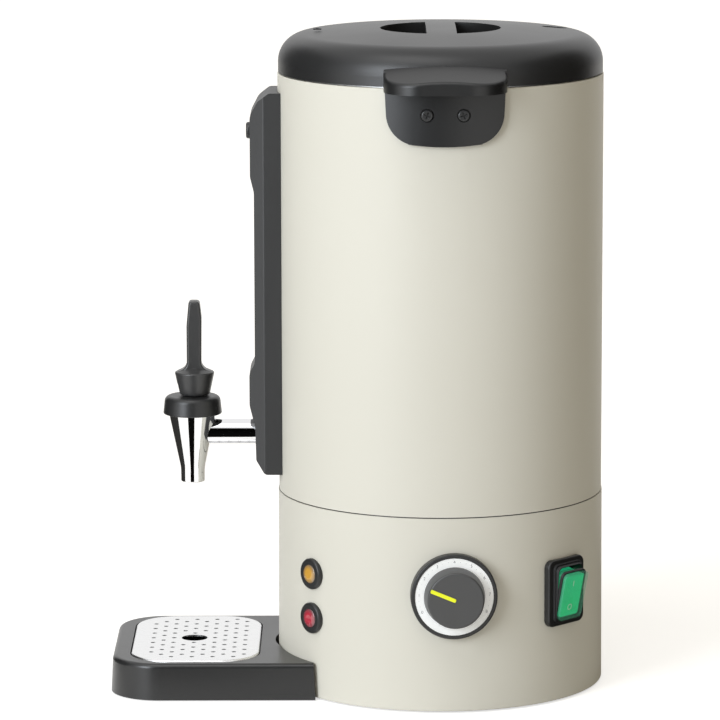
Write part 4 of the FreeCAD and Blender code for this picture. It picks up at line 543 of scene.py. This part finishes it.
# Markings on the dial and the switch
def add_text(shape, text, size, depth, place):
    """Flat raised characters, centred on a place."""
    curve = bpy.data.curves.new("text", "FONT")
    curve.body = text
    curve.size = size
    curve.extrude = depth
    curve.align_x = "CENTER"
    curve.align_y = "CENTER"
    thing = bpy.data.objects.new("text", curve)
    mesh = bpy.data.meshes.new_from_object(thing)
    bpy.data.objects.remove(thing)
    mesh.transform(place)
    shape.from_mesh(mesh)


def make_dial_marks():
    """Plain numbers round the dial ring, with two ticks between each two."""
    base = wall_frame(DIAL_AZIMUTH, DIAL_WALL, DIAL_HEIGHT)
    marks = bmesh.new()
    steps = (MARK_NUMBERS - 1) * (TICKS_BETWEEN + 1)
    for index in range(steps + 1):
        turn = turned(MARK_FIRST + (MARK_LAST - MARK_FIRST) * index / steps)
        number, tick = divmod(index, TICKS_BETWEEN + 1)
        if tick:
            block(marks, base @ turn @ moved(MARK_RADIUS, 0, DIAL_FACE), TICK_SIZE)
        else:
            spot = turn @ Vector((MARK_RADIUS, 0, DIAL_FACE))
            add_text(marks, str(number), MARK_TALL, MARK_PROUD, base @ Matrix.Translation(spot))
    piece("dial_marks", "dial_print", "urn", marks)


def make_switch_marks():
    """The plain I and O of the rocker."""
    face = (wall_frame(SWITCH_AZIMUTH, SWITCH_WALL, SWITCH_HEIGHT) @ moved(0, 0, ROCKER_PIVOT)
            @ turned(SWITCH_TILT, "X") @ moved(0, 0, ROCKER_FRONT - ROCKER_PIVOT))
    marks = bmesh.new()
    block(marks, face @ moved(0, ROCKER_MARK_OFF, 0), BAR_SIZE)
    low = face @ moved(0, -ROCKER_MARK_OFF, 0)
    band(marks, [circle(marks, low, radius, high, RING_STEPS)
                 for radius, high in ((RING_INNER, 0), (RING_INNER, RING_PROUD), (RING_OUTER, RING_PROUD),
                                      (RING_OUTER, 0))])
    piece("switch_marks", "mark_white", "rocker", marks)


def rounded_loop(shape, half_wide, half_tall, height, tilt, base):
    """One rounded rectangle of points round the rocker in millimetres, tilted about its pins."""
    loop = []
    turn = moved(0, 0, ROCKER_PIVOT) @ turned(tilt, "X") @ moved(0, 0, -ROCKER_PIVOT)
    for quarter, (across, up) in enumerate(((1, 1), (-1, 1), (-1, -1), (1, -1))):
        for step in range(CORNER_STEPS + 1):
            angle = math.pi / 2 * (quarter + step / CORNER_STEPS)
            x = across * (half_wide - LOOP_CORNER) + LOOP_CORNER * math.cos(angle)
            y = up * (half_tall - LOOP_CORNER) + LOOP_CORNER * math.sin(angle)
            loop.append(shape.verts.new(base @ turn @ (Vector((x, y, height)) * MM)))
    return loop


def make_bellows():
    """Two rubber ribs between the switch frame and its splash boot, and the boot's own rim."""
    base = wall_frame(SWITCH_AZIMUTH, SWITCH_WALL, SWITCH_HEIGHT)
    for name, body, loops in (("switch_bellows", "urn", BELLOWS_LOOPS),
                              ("switch_boot_rim", "rocker", BOOT_RIM_LOOPS)):
        shape = bmesh.new()
        band(shape, [rounded_loop(shape, *loop, base) for loop in loops])
        piece(name, "rubber", body, shape)


def make_lid_mark():
    """A plain raised triangle that shows which way the lid goes on."""
    shape = bmesh.new()
    place = Matrix.Translation(ARROW_PLACE + Vector((0, 0, LID_TOP)))
    band(shape, [circle(shape, place, size, height, 3, 90)
                 for size, height in ((ARROW_FOOT, -ARROW_SUNK), (ARROW_FOOT, ARROW_PROUD),
                                      (ARROW_HOLE, ARROW_PROUD), (ARROW_HOLE, -ARROW_SUNK))])
    piece("lid_mark", "black_plastic", "lid", shape)


bpy.context.scene.view_settings.view_transform = "Standard"
cover_nodes()
make_camera()
make_floor()
make_studio()
make_dial_marks()
make_switch_marks()
make_bellows()
make_lid_mark()
